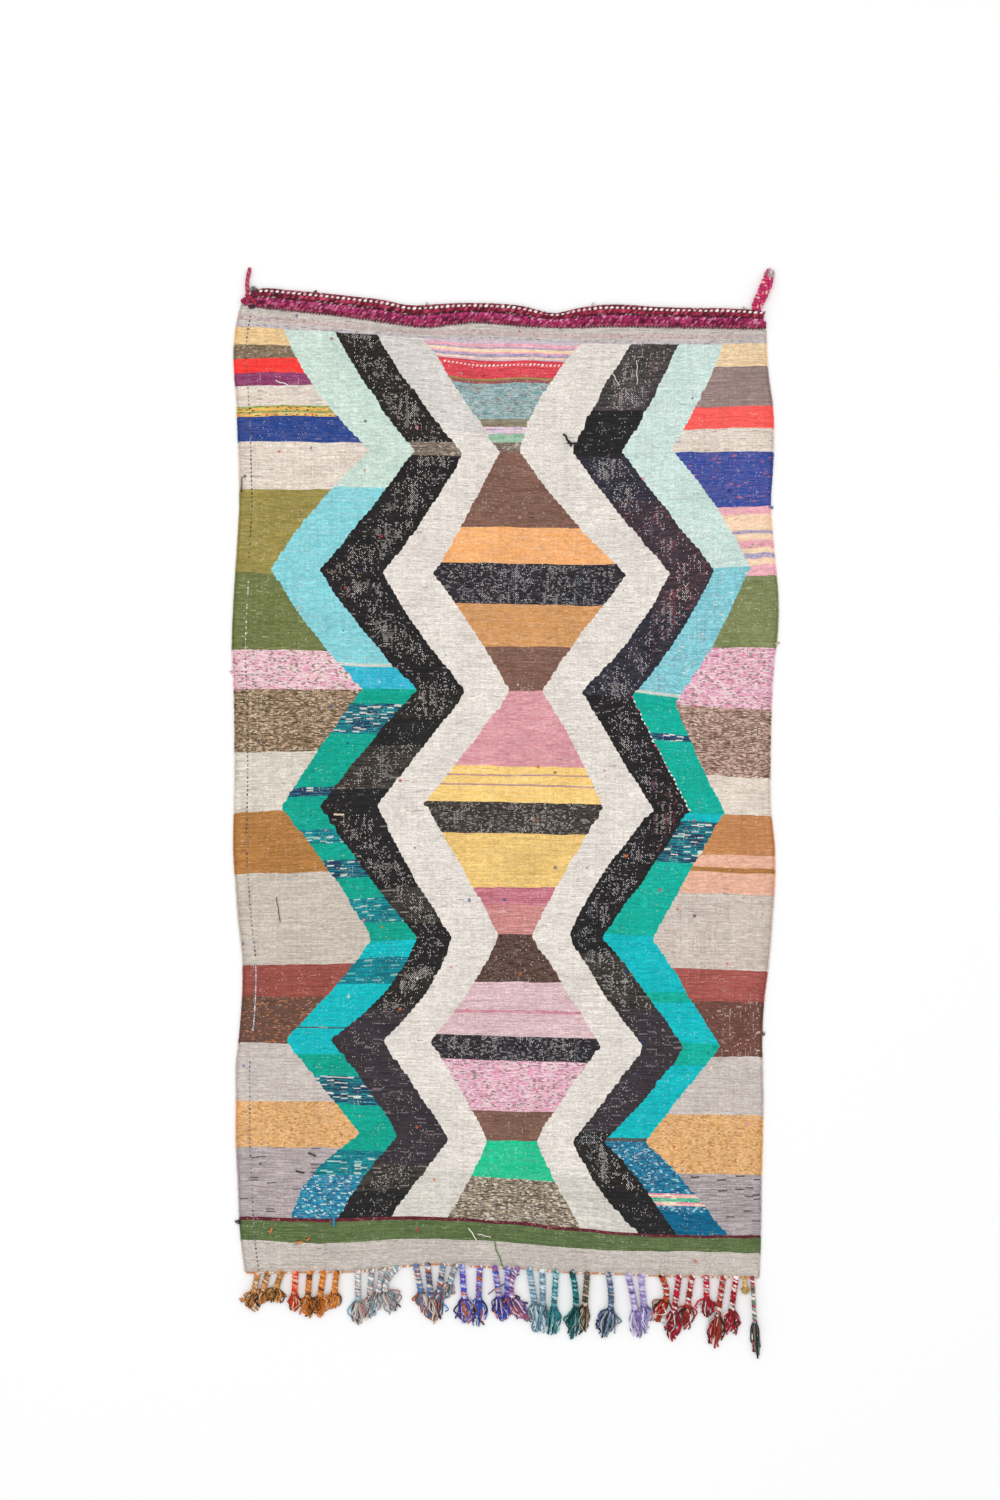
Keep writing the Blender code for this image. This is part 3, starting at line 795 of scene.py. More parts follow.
def humps_and_cells(tree, split):
    """The row's number, the hump's number across, and how high the hump is here."""
    row = calc(tree, "DIVIDE", split.outputs[1], WEFT)
    row_number = calc(tree, "FLOOR", row)
    shift = calc(tree, "MULTIPLY", calc(tree, "MODULO", row_number, 2.0), 0.5)
    warp = calc(tree, "ADD", calc(tree, "DIVIDE", split.outputs[0], WARP), shift)
    along = calc(tree, "SINE", calc(tree, "MULTIPLY", calc(tree, "FRACT", warp), math.pi))
    over = calc(tree, "SINE", calc(tree, "MULTIPLY", calc(tree, "FRACT", row), math.pi))
    return row_number, warp, along, over


NUB_SCALE = 21.0  # how close together the tufts may lie
NUB_COVER = 0.7


def nubs(tree, place, colour):
    """Puts a few small tufts of stray fluff, each of its own colour, over a colour."""
    cells = node(tree, "ShaderNodeTexVoronoi", place, {"Scale": NUB_SCALE, "Randomness": 1.0})
    picks = node(tree, "ShaderNodeSeparateColor", cells.outputs["Color"])
    size = calc(tree, "MULTIPLY_ADD", picks.outputs[0], 0.17, -0.055)
    fuzz = node(tree, "ShaderNodeTexNoise", place, {"Scale": 500.0, "Detail": 2.0})
    reach = calc(tree, "MULTIPLY_ADD", fuzz.outputs["Fac"], 0.06, cells.outputs["Distance"])
    here = calc(tree, "LESS_THAN", reach, calc(tree, "ADD", size, 0.03))
    ramp = node(tree, "ShaderNodeValToRGB", picks.outputs[1])
    ramp.color_ramp.interpolation = "CONSTANT"
    while len(ramp.color_ramp.elements) < len(NUB_DYES):
        ramp.color_ramp.elements.new(0.5)
    for index, code in enumerate(NUB_DYES):
        ramp.color_ramp.elements[index].position = index / len(NUB_DYES)
        ramp.color_ramp.elements[index].color = dye(code)
    return blend(tree, calc(tree, "MULTIPLY", here, NUB_COVER), colour, ramp.outputs["Color"])


def wear(tree, colour, bump, sheen):
    """Gives a material its colour, its relief and the matt look of wool."""
    shader = tree.nodes["Principled BSDF"]
    tree.links.new(colour, shader.inputs["Base Color"])
    tree.links.new(bump.outputs[0], shader.inputs["Normal"])
    settle(shader, Roughness=0.95, Specular_IOR_Level=0.15, Sheen_Weight=sheen)
    settle(shader, Sheen_Roughness=0.6)


def cloth_material(name):
    """Weft-faced cloth in the colours that each face carries."""
    weave = WEAVES[name]
    made = bpy.data.materials.new(f"weave_{name}")
    made.use_nodes = True
    tree = made.node_tree

    place = node(tree, "ShaderNodeAttribute", attribute_name="loom").outputs["Vector"]
    split = node(tree, "ShaderNodeSeparateXYZ", place)
    x, y, side = split.outputs
    row_number, warp, along, over = humps_and_cells(tree, split)
    hump = calc(tree, "MULTIPLY", along, over)

    def chances(across_number, salt):
        cell = node(tree, "ShaderNodeCombineXYZ", across_number, row_number, salt)
        drawn = node(tree, "ShaderNodeTexWhiteNoise", cell.outputs[0], noise_dimensions="3D")
        return node(tree, "ShaderNodeSeparateColor", drawn.outputs["Color"]).outputs

    def cloud(across_size, along_size, salt, detail=2.0):
        across = calc(tree, "DIVIDE", x, across_size)
        along = calc(tree, "DIVIDE", y, along_size)
        spot = node(tree, "ShaderNodeCombineXYZ", across, along, calc(tree, "ADD", side, salt))
        drift = {"Scale": 1.0, "Detail": detail}
        return node(tree, "ShaderNodeTexNoise", spot.outputs[0], drift).outputs["Fac"]

    def layer(attribute, output="Color"):
        return node(tree, "ShaderNodeAttribute", attribute_name=attribute).outputs[output]

    # Which yarn each stitch shows.
    shares = node(tree, "ShaderNodeSeparateXYZ", layer("shares", "Vector")).outputs
    dash = calc(tree, "FLOOR", calc(tree, "DIVIDE", warp, weave.fleck_long))
    dash_chance = chances(dash, 1.3)
    stitch_chance = chances(calc(tree, "FLOOR", warp), 7.7)
    streak = cloud(weave.streak_long, WEFT * 0.9, 3.0, 1.0)
    is_streak = calc(tree, "LESS_THAN", calc(tree, "MULTIPLY_ADD", streak, 3.0, -1.0), shares[1])
    is_fleck = calc(tree, "LESS_THAN", dash_chance[0], shares[0])
    is_bit = calc(tree, "LESS_THAN", dash_chance[1], weave.bits)
    colour = blend(tree, is_streak, layer("ground"), layer("fleck"))
    colour = blend(tree, calc(tree, "MULTIPLY", is_fleck, FLECK_COVER), colour, layer("fleck"))
    colour = blend(tree, calc(tree, "MULTIPLY", is_bit, BIT_COVER), colour, layer("accent"))

    # Where the warps show, and in what colour.
    half_warp = calc(tree, "FLOOR", calc(tree, "MULTIPLY_ADD", x, 2.0 / WARP, 0.5))
    warp_draw = node(tree, "ShaderNodeTexWhiteNoise", {"W": half_warp}, noise_dimensions="1D")
    warp_pick = node(tree, "ShaderNodeSeparateColor", warp_draw.outputs["Color"]).outputs
    is_white = calc(tree, "LESS_THAN", warp_pick[0], 0.5)
    thread = blend(tree, is_white, layer("warp"), dye("#e3ddd6"))
    tall = stretch(tree, cloud(0.012, 0.055, 11.0), 4.0, -1.4)
    broad = stretch(tree, cloud(0.06, 0.05, 17.0), 4.0, -1.5)
    patch = calc(tree, "MULTIPLY", tall, broad)
    rows_open = stretch(tree, cloud(0.06, 0.008, 19.0), 3.0, -0.7)
    patch = calc(tree, "MULTIPLY_ADD", calc(tree, "MULTIPLY", patch, rows_open), 1.6, 0.06)
    inner = stretch(tree, layer("inside", "Fac"), 2.2, -0.35)
    share = calc(tree, "POWER", shares[2], 0.7)
    bare = calc(tree, "MULTIPLY", calc(tree, "MULTIPLY", share, patch), inner)
    gap_chance = chances(calc(tree, "FLOOR", calc(tree, "ADD", warp, 0.5)), 5.1)
    is_open = calc(tree, "LESS_THAN", gap_chance[0], calc(tree, "MULTIPLY", bare, OPEN_MOST))
    width = calc(tree, "SUBTRACT", GAP, along)
    gap = calc(tree, "DIVIDE", width, 0.2, use_clamp=True)
    gap = calc(tree, "MULTIPLY", gap, calc(tree, "MULTIPLY", over, 2.0, use_clamp=True))
    bright = calc(tree, "MULTIPLY_ADD", gap_chance[1], 0.5, 0.15)
    bright = stretch(tree, shares[2], 0.35, bright)
    seen = calc(tree, "MULTIPLY", gap, calc(tree, "MULTIPLY", is_open, bright))
    colour = blend(tree, seen, colour, thread)
    colour = nubs(tree, place, colour)

    # Light and dark: each stitch, each row, each warp, slow changes over the cloth, and painted shade
    # between humps.
    shade = calc(tree, "MULTIPLY_ADD", stitch_chance[1], *SHADE_OF_STITCH)
    dash_shade = calc(tree, "MULTIPLY_ADD", dash_chance[2], *SHADE_OF_DASH)
    shade = calc(tree, "MULTIPLY", shade, dash_shade)
    for value, swing in (
        # painted shade: darker in the gaps between humps, lighter on their tops
        (calc(tree, "MULTIPLY_ADD", hump, 0.8, 0.1), 0.34),
        (streak, 0.30),
        (cloud(0.10, 0.12, 23.0, 3.0), 0.30),
        (cloud(0.008, 0.16, 29.0), 0.26),
        (cloud(0.14, 0.006, 37.0), 0.26),
    ):
        factor = calc(tree, "MULTIPLY_ADD", value, swing, 1 - swing / 2)
        shade = calc(tree, "MULTIPLY", shade, factor)
    grey = node(tree, "ShaderNodeCombineColor", shade, shade, shade).outputs[0]
    colour = blend(tree, 1.0, colour, grey, "MULTIPLY")
    relief = {"Strength": 0.8, "Distance": weave.hump, "Height": hump}
    wear(tree, colour, node(tree, "ShaderNodeBump", relief), sheen=0.06)
    return made


for finish in FINISHES:
    cloth_mesh.materials.append(cloth_material(finish))
print("cloth materials:", [m.name for m in cloth_mesh.materials])

# %% [markdown]
# ## Yarn that follows a path
# Cords, braids and frayed tassels are all yarn along a path, so one node tree makes them.
# It takes bare polylines whose points say how thick the yarn is and in which dyes. Each
# path is copied once for each ply, and the plies wind round it like a helix. One ply gives
# a plain strand. The result is turned into an ordinary mesh at once.

# %% Twisted yarn tree
def group_inputs(tree, *sockets):
    tree.interface.new_socket("Geometry", in_out="INPUT", socket_type="NodeSocketGeometry")
    tree.interface.new_socket("Geometry", in_out="OUTPUT", socket_type="NodeSocketGeometry")
    for name, kind in sockets:
        tree.interface.new_socket(name, in_out="INPUT", socket_type=f"NodeSocket{kind}")
    return tree.nodes.new("NodeGroupInput")


def named(tree, name, kind="FLOAT"):
    """The value of a named attribute."""
    return node(tree, "GeometryNodeInputNamedAttribute", name, data_type=kind).outputs[0]


def painted(tree, geometry, choice):
    """Stores on every point one of its path's three dyes, chosen by a number from 0 to 2."""
    pick = node(tree, "GeometryNodeIndexSwitch", {"Index": choice}, data_type="RGBA")
    pick.index_switch_items.new()
    for index in range(3):
        tree.links.new(named(tree, f"dye_{index}", "FLOAT_COLOR"), pick.inputs[index + 1])
    feeds = {"Geometry": geometry, "Name": "dye", "Value": pick.outputs[0]}
    kind = "GeometryNodeStoreNamedAttribute"
    return node(tree, kind, feeds, data_type="FLOAT_COLOR", domain="POINT").outputs[0]


def finish_tree(tree, geometry, material):
    """Smooth shading, real geometry, material, output."""
    smooth = node(tree, "GeometryNodeSetShadeSmooth", {"Geometry": geometry})
    real = node(tree, "GeometryNodeRealizeInstances", smooth.outputs[0])
    done = node(tree, "GeometryNodeSetMaterial", {"Geometry": real.outputs[0], "Material": material})
    node(tree, "NodeGroupOutput", done.outputs[0])


PLY_REACH = 0.5  # how far a ply swings from its yarn's middle, as a share of its thickness
PLY_SLIM = 0.45  # how much thinner a ply is than a plain strand


def twisted_yarn_tree():
    """Polylines become yarn of one, two or three plies."""
    tree = bpy.data.node_groups.new("twisted_yarn", "GeometryNodeTree")
    sockets = (("Plies", "Int"), ("Turns", "Float"), ("Spacing", "Float"))
    given = group_inputs(tree, *sockets, ("Sides", "Int"), ("Material", "Material")).outputs
    curve = node(tree, "GeometryNodeMeshToCurve", given["Geometry"]).outputs[0]
    feeds = {"Curve": curve, "Length": given["Spacing"]}
    curve = node(tree, "GeometryNodeResampleCurve", feeds, mode="LENGTH").outputs[0]
    feeds = {"Geometry": curve, "Amount": given["Plies"]}
    copies = node(tree, "GeometryNodeDuplicateElements", feeds, domain="SPLINE")
    feeds = {"Geometry": copies.outputs[0], "Name": "ply", "Value": copies.outputs[1]}
    kind = "GeometryNodeStoreNamedAttribute"
    stored = node(tree, kind, feeds, data_type="FLOAT", domain="CURVE").outputs[0]

    ply, thick = named(tree, "ply"), named(tree, "thick")
    length = node(tree, "GeometryNodeSplineParameter").outputs["Length"]
    start = calc(tree, "DIVIDE", ply, given["Plies"])
    angle = calc(tree, "MULTIPLY_ADD", length, given["Turns"], start)
    angle = calc(tree, "MULTIPLY", angle, 2 * math.pi)
    tangent = node(tree, "GeometryNodeInputTangent").outputs[0]
    side = vector(tree, "NORMALIZE", vector(tree, "CROSS_PRODUCT", tangent, (0.0, 0.0, 1.0)))
    rise = vector(tree, "CROSS_PRODUCT", side, tangent)
    many = calc(tree, "GREATER_THAN", given["Plies"], 1.5)
    reach = calc(tree, "MULTIPLY", calc(tree, "MULTIPLY", thick, many), PLY_REACH)
    swing = vector(tree, "MULTIPLY", side, calc(tree, "MULTIPLY", calc(tree, "COSINE", angle), reach))
    climb = vector(tree, "MULTIPLY", rise, calc(tree, "MULTIPLY", calc(tree, "SINE", angle), reach))
    feeds = {"Geometry": stored, "Offset": vector(tree, "ADD", swing, climb)}
    wound = node(tree, "GeometryNodeSetPosition", feeds).outputs[0]

    ring = node(tree, "GeometryNodeCurvePrimitiveCircle", {"Resolution": given["Sides"], "Radius": 1.0})
    slim = calc(tree, "SUBTRACT", 1.0, calc(tree, "MULTIPLY", many, PLY_SLIM))
    feeds = {
        "Curve": painted(tree, wound, ply),
        "Profile Curve": ring.outputs[0],
        "Scale": calc(tree, "MULTIPLY", thick, slim),
        "Fill Caps": True,
    }
    tube = node(tree, "GeometryNodeCurveToMesh", feeds)
    finish_tree(tree, tube.outputs[0], given["Material"])
    return tree


twisted_yarn = twisted_yarn_tree()
print("nodes in the yarn tree:", len(twisted_yarn.nodes))

# %% [markdown]
# ## Rows of stitches
# Twining, selvedge turns and dashes of exposed warp are rows of short humps along a path.
# The second tree sets a small bead at even steps along a polyline, leans it, and gives it
# one of the path's three dyes by chance.

# %% Stitch row tree
def stitch_row_tree():
    """Polylines become rows of slanted beads."""
    tree = bpy.data.node_groups.new("stitch_row", "GeometryNodeTree")
    sockets = (("Spacing", "Float"), ("Bead", "Vector"), ("Lean", "Float"))
    given = group_inputs(tree, *sockets, ("Seed", "Int"), ("Material", "Material")).outputs

    def drawn(low, high):
        feeds = {2: low, 3: high, 8: given["Seed"]}
        return node(tree, "FunctionNodeRandomValue", feeds).outputs[1]

    curve = node(tree, "GeometryNodeMeshToCurve", given["Geometry"]).outputs[0]
    feeds = {"Curve": curve, "Length": given["Spacing"]}
    spots = node(tree, "GeometryNodeCurveToPoints", feeds, mode="LENGTH")
    feeds = {4: 0, 5: 2, 8: given["Seed"]}
    whole = node(tree, "FunctionNodeRandomValue", feeds, data_type="INT").outputs[2]
    kind = "FunctionNodeAlignRotationToVector"
    feeds = {"Vector": spots.outputs["Tangent"]}
    along = node(tree, kind, feeds, axis="X", pivot_axis="Z").outputs[0]
    lean = calc(tree, "ADD", given["Lean"], drawn(-0.18, 0.18))
    turn = node(tree, "ShaderNodeCombineXYZ", 0.0, 0.0, lean).outputs[0]
    feeds = {"Rotation": along, "Rotate By": turn}
    leaned = node(tree, "FunctionNodeRotateRotation", feeds, rotation_space="LOCAL").outputs[0]
    ball = node(tree, "GeometryNodeMeshUVSphere", {"Segments": 7, "Rings": 5, "Radius": 0.5})
    feeds = {
        "Points": painted(tree, spots.outputs[0], whole),
        "Instance": ball.outputs[0],
        "Rotation": leaned,
        "Scale": vector(tree, "MULTIPLY", given["Bead"], drawn(0.8, 1.15)),
    }
    beads = node(tree, "GeometryNodeInstanceOnPoints", feeds)
    finish_tree(tree, beads.outputs[0], given["Material"])
    return tree


stitch_row = stitch_row_tree()
print("nodes in the stitch tree:", len(stitch_row.nodes))

# %% [markdown]
# ## Yarn as a material
# All loose yarn shares one soft, matt finish. It takes its colour from the dye that the
# tree stored, breaks it up with a fine fibre noise, and roughens the surface with the same
# noise, so that no strand looks like plastic.

# %% Yarn materials and growing
def yarn_material(name, fibre, depth):
    """Dyed wool: fibre is the size of its fuzz and depth how rough it is, in metres."""
    made = bpy.data.materials.new(name)
    made.use_nodes = True
    tree = made.node_tree
    colour = node(tree, "ShaderNodeAttribute", attribute_name="dye").outputs["Color"]
    place = node(tree, "ShaderNodeTexCoord").outputs["Object"]
    fuzz = node(tree, "ShaderNodeTexNoise", place, {"Scale": 1 / fibre, "Detail": 3.0})
    wisp = node(tree, "ShaderNodeTexNoise", place, {"Scale": 60.0, "Detail": 2.0})
    shade = calc(tree, "MULTIPLY_ADD", fuzz.outputs["Fac"], 0.7, 0.65)
    shade = calc(tree, "MULTIPLY", shade, calc(tree, "MULTIPLY_ADD", wisp.outputs["Fac"], 0.3, 0.85))
    grey = node(tree, "ShaderNodeCombineColor", shade, shade, shade).outputs[0]
    relief = {"Strength": 0.7, "Distance": depth, "Height": fuzz.outputs["Fac"]}
    bump = node(tree, "ShaderNodeBump", relief)
    wear(tree, blend(tree, 1.0, colour, grey, "MULTIPLY"), bump, sheen=0.08)
    return made


Strand = namedtuple("Strand", "points thick dyes")


def triangle_count(mesh):
    """How many triangles a mesh comes to."""
    return sum(len(face.vertices) - 2 for face in mesh.polygons)


def grow(name, tree, strands, **inputs):
    """Feeds strands to a tree and keeps the result as a plain mesh object."""
    mesh = bpy.data.meshes.new(name)
    spots, edges, thick, dyes = [], [], [], [[], [], []]
    for strand in strands:
        start = len(spots)
        spots += [tuple(p) for p in strand.points]
        edges += [(start + i, start + i + 1) for i in range(len(strand.points) - 1)]
        thick += list(np.broadcast_to(strand.thick, len(strand.points)))
        for index in range(3):
            tint = np.asarray(strand.dyes[index % len(strand.dyes)])
            dyes[index] += np.broadcast_to(tint, (len(strand.points), 4)).tolist()
    mesh.from_pydata(spots, edges, [])
    store(mesh, "thick", "FLOAT", "POINT", thick)
    for index in range(3):
        store(mesh, f"dye_{index}", "FLOAT_COLOR", "POINT", dyes[index])
    made = add_object(name, mesh)
    modifier = made.modifiers.new("yarn", "NODES")
    modifier.node_group = tree
    for item in tree.interface.items_tree:
        if item.in_out == "INPUT" and item.name in inputs:
            modifier[item.identifier] = inputs[item.name]
    graph = bpy.context.evaluated_depsgraph_get()
    grown = bpy.data.meshes.new_from_object(made.evaluated_get(graph), depsgraph=graph)
    made.modifiers.clear()
    made.data = grown
    bpy.data.meshes.remove(mesh)
    grown.name = name
    print(f"{name}: {len(strands)} paths, {triangle_count(grown)} triangles")
    return made


def twist(name, strands, plies, turns, spacing, sides, material):
    """Yarn of so many plies, wound so many turns in each metre."""
    inputs = {"Plies": plies, "Turns": turns, "Spacing": spacing, "Sides": sides}
    return grow(name, twisted_yarn, strands, Material=material, **inputs)


def stitch(name, strands, spacing, bead, lean, seed, material):
    """Rows of short humps: how far apart, how long, wide and high, and how slanted."""
    inputs = {"Spacing": spacing, "Bead": bead, "Lean": lean, "Seed": seed}
    return grow(name, stitch_row, strands, Material=material, **inputs)


wool = yarn_material("wool", 0.0016, 0.0006)
rag = yarn_material("rag_strip", 0.0028, 0.0009)
print("yarn materials:", wool.name, rag.name)

# %% [markdown]
# ## The plait along the top
# The top end is closed with six rows of twining, each a pair of rag strips wound round
# each other and round the warps: a row of maroon teeth over the cloth, magenta, a paler
# pink, a thin dark line, maroon again, and a row of white loops with maroon between them.
# Each row is placed by its share of the plait's height, so all of them wave together. The
# strips are of mixed yarn, whose dyes change every few millimetres.

# %% Top plait
PLAIT_ENDS = (-0.712, 0.717)
LOOP_STEP = 0.0152  # from one white loop to the next
BED_FLOOR, BED_TOP = 0.0006, 0.0052
BED_CUTS = 118
Row = namedtuple("Row", "share thick turns dyes")
TWINED = [
    Row(0.11, 0.0052, 60.0, ("#8a2244", "#5a1a30", "#a83a5c", "#3c1420", "#c46a84")),
    Row(0.27, 0.0062, 56.0, ("#a02258", "#6f1638", "#b83a72", "#4a1228", "#d07a9c")),
    Row(0.43, 0.0058, 60.0, ("#b02a68", "#7a1f44", "#c04a80", "#541430", "#e0a0b8")),
    Row(0.57, 0.0034, 60.0, ("#4e1c2a", "#2c1018", "#8c2a4a", "#3c1420", "#e0cfc4")),
    Row(0.70, 0.0062, 56.0, ("#8a1c38", "#5c1426", "#a6304c", "#3c1018", "#c85a70")),
    Row(0.94, 0.0038, 60.0, ("#8c2c44", "#5c2430", "#a04a5c", "#4a1824", "#d8a8a4")),
]


def plait_line(share, step=0.006, lift=0.0, wobble=0.0012):
    """Points along the plait at a share of its height from foot to crown."""
    line = []
    start, stop = PLAIT_ENDS
    stop -= 0.014 * share
    for i in range(round((stop - start) / step) + 1):
        x = start + i * step
        low, high = plait_at(x)
        y = low + (high - low) * share + wobble * noise.noise((x / 0.05, share * 9, 3.0))
        line.append((x, y, lift))
    return line


def marled(codes, count, seed):
    """The dyes of one ply of mixed yarn, which change every few millimetres."""
    chance = random.Random(seed)
    main = codes[seed % 3]
    return np.array([dye(chance.choice((main, main, *codes))) for _ in range(count)])


plait_pieces = []
for number, row in enumerate(TWINED):
    line = plait_line(row.share, lift=row.thick + 0.0012)
    tints = [marled(row.dyes, len(line), 3 * number + k) for k in range(3)]
    strand = Strand(line, row.thick, tints)
    plait_pieces.append(twist(f"twined_row_{number + 1}", [strand], 3, row.turns, 0.003, 6, rag))

teeth_line = plait_line(0.03, lift=0.0042)
teeth = Strand(teeth_line, 1.0, dyed("#7a2740", "#5a1f30", "#8f3354"))
loop_line = plait_line(0.85, lift=0.0068)
loops = Strand(loop_line, 1.0, dyed("#efe3dc", "#f4efe8", "#e2b9bd"))
tie_line = [(x + LOOP_STEP / 2, y, z) for x, y, z in loop_line]
ties = Strand(tie_line, 1.0, dyed("#6d2438", "#8a3348", "#54202c"))
plait_pieces += [
    stitch("plait_teeth", [teeth], 0.0085, (0.0052, 0.0125, 0.0065), -0.35, 3, rag),
    stitch("plait_loops", [loops], LOOP_STEP, (0.0125, 0.0085, 0.0085), 0.35, 5, rag),
    stitch("plait_loop_ties", [ties], LOOP_STEP, (0.0060, 0.0155, 0.0082), -0.5, 8, rag),
]


def plait_shade_bed():
    """A closed strip under the twining, so that no floor shows between its rows, dyed dark as painted
    shade.
    """
    made = bpy.data.meshes.new("plait_shade_bed")
    spots, faces = [], []
    xs = np.linspace(PLAIT_ENDS[0] + 0.004, PLAIT_ENDS[1] - 0.010, BED_CUTS)
    for x in xs:
        low, high = plait_at(x)
        foot, crown = low + 0.003, high - 0.004
        spots += [(x, foot, BED_FLOOR), (x, crown, BED_FLOOR), (x, crown, BED_TOP), (x, foot, BED_TOP)]
    for i in range(len(xs) - 1):
        for k in range(4):
            a, b = 4 * i + k, 4 * i + (k + 1) % 4
            faces.append((a, b, b + 4, a + 4))
    last = len(spots) - 4
    faces += [(3, 2, 1, 0), (last, last + 1, last + 2, last + 3)]
    made.from_pydata(spots, [], faces)
    # the strip's dark maroon stands for yarn deeper in the plait and is painted shade for the gaps
    # between rows
    store(made, "dye", "FLOAT_COLOR", "POINT", np.tile(dye("#5e2134"), len(spots)))
    made.materials.append(rag)
    return add_object("plait_shade_bed", made)


plait_pieces.append(plait_shade_bed())
print("plait:", len(plait_pieces), "pieces")

# %% [markdown]
# ## The two corner tails
# The ends of the twining yarns hang out at the corners. The left one is a thin two-ply
# cord that leaves through a knot. The right one is a flat braid of three strands, frayed
# where it ends. A flat braid is three strands that swing from side to side a third of a
# turn apart and dip twice in each swing.

# %% Corner tails
# Places along each tail's middle, and how wide it is there.
LEFT_TAIL = [
    (-0.707, 1.357, 0.011),
    (-0.7085, 1.375, 0.011),
    (-0.7075, 1.392, 0.010),
    (-0.704, 1.408, 0.011),
    (-0.701, 1.423, 0.009),
]
RIGHT_TAIL = [
    (0.688, 1.309, 0.030),
    (0.699, 1.333, 0.034),
    (0.711, 1.358, 0.035),
    (0.721, 1.384, 0.034),
    (0.727, 1.402, 0.026),
    (0.729, 1.414, 0.012),
]
BRAID_PITCH = 0.042
BRAID_HIGH = 0.0094
FRAY_FROM = 0.80  # the share of the braid's length where it comes undone


def along_path(route, share):
    """Place, direction and width at a share of the way along a route."""
    spots = np.array(route, float)
    steps = np.linalg.norm(np.diff(spots[:, :2], axis=0), axis=1)
    reached = np.concatenate([[0], np.cumsum(steps)]) / steps.sum()
    here = np.array([through(reached, spots[:, k], share) for k in range(spots.shape[1])])
    ahead = np.array([through(reached, spots[:, k], min(share + 0.02, 1.0)) for k in (0, 1)])
    back = np.array([through(reached, spots[:, k], max(share - 0.02, 0.0)) for k in (0, 1)])
    direction = (ahead - back) / np.linalg.norm(ahead - back)
    return here[:2], direction, here[-1], steps.sum()


def loop_round(centre, radius, turns, lift, squash=0.6):
    """A few turns of yarn wound into a knot."""
    spots = []
    for i in range(round(turns * 14) + 1):
        angle = 2 * math.pi * i / 14
        sway = 0.35 * radius * math.sin(angle * 0.37)
        x = centre[0] + radius * math.cos(angle) + sway
        y = centre[1] + squash * radius * math.sin(angle) + 0.4 * sway
        spots.append((x, y, lift + 0.35 * radius * math.sin(angle * 0.61 + 1.0)))
    return spots


left_route = [along_path(LEFT_TAIL, t) for t in np.linspace(0, 1, 15)]
left_cord = Strand(
    [(x, y, 0.0068) for (x, y), direction, wide, length in left_route],
    [0.58 * wide for place, direction, wide, length in left_route],
    dyed("#a8324f", "#c0607a", "#a8324f"),
)
# The knot: a wound centre, the strand that crosses it, and three smaller windings.
centre = loop_round((-0.7110, 1.333), 0.0105, 2.6, 0.0085)
crossing = [(-0.711, 1.350, 0.010), (-0.698, 1.340, 0.013), (-0.684, 1.326, 0.010)]
crown = loop_round((-0.6865, 1.352), 0.0075, 2.0, 0.0075)
grey_end = loop_round((-0.6915, 1.3665), 0.0060, 1.7, 0.0060)
dark_end = loop_round((-0.6950, 1.3170), 0.0065, 1.7, 0.0080)
corner_strands = [
    Strand(centre, 0.0042, dyed("#8c2448", "#a83a5e")),
    Strand(crossing, 0.0058, dyed("#b5384f", "#8a2a40")),
    Strand(crown, 0.0050, dyed("#5c1f30", "#70283c")),
    Strand(grey_end, 0.0034, dyed("#8d938c", "#5f6a62")),
    Strand(dark_end, 0.0034, dyed("#3a2a30", "#5a3a42")),
]
left_tail = twist("left_tail_cord", [left_cord], 2, 70.0, 0.0025, 8, wool)
left_knot = twist("left_corner_knot", corner_strands, 2, 90.0, 0.0025, 7, wool)


def braid(route, dyes):
    """Three strands of a flat braid."""
    strands = []
    shares = np.linspace(0, FRAY_FROM + 0.06, 44)
    for k in range(3):
        spots, thick = [], []
        for t in shares:
            (x, y), (dx, dy), wide, length = along_path(route, t)
            phase = 2 * math.pi * (t * length / BRAID_PITCH + k / 3)
            swing = 0.32 * wide * math.sin(phase)
            lift = BRAID_HIGH + 0.0030 * math.sin(2 * phase)
            spots.append((x - dy * swing, y + dx * swing, lift))
            thick.append(0.190 * wide)
        strands.append(Strand(spots, thick, dyes[k]))
    return strands


braid_dyes = [
    dyed("#b81c54", "#d84a78"),
    dyed("#c42a48", "#e8b0b8"),
    dyed("#9a2c6a", "#d8305c"),
]
braided = braid(RIGHT_TAIL, braid_dyes)
right_braid = twist("right_tail_braid", braided, 2, 110.0, 0.0022, 7, wool)


def frayed(root, direction, length, spread, count, thick, dyes, seed, lift=0.007, wave=0.24):
    """Loose strands that leave a knot and fan out towards their tips."""
    chance = random.Random(seed)
    (dx, dy), strands = direction, []
    for _ in range(count):
        aim = chance.gauss(0, 0.5)
        reach = length * (1 - 0.16 * min(1.0, abs(aim))) * chance.uniform(0.50, 1.06)
        high = chance.uniform(-0.55, 0.75)
        curl, turn = chance.gauss(0, 1) * wave, chance.uniform(0, 6.3)
        spots = []
        for i in range(8):
            t = i / 7
            side = spread * max(-1.5, min(1.5, aim)) * (0.3 + 0.7 * math.sin(2.6 * t))
            side += spread * curl * math.sin(t * 8 + turn) * (0.3 + t)
            on = reach * t
            z = max(thick, lift + 0.0045 * high * math.sin(math.pi * min(1.0, t + 0.2)) - 0.002 * t)
            spots.append((root[0] + dx * on - dy * side, root[1] + dy * on + dx * side, z))
        # each strand is darkened by a random share: partly its own tone, partly painted shade for the
        # dark gaps between strands
        tint = np.array(dyes[chance.randrange(len(dyes))]) * chance.uniform(0.55, 1.05)
        strands.append(Strand(spots, thick * chance.uniform(0.8, 1.2), [tint]))
    return strands


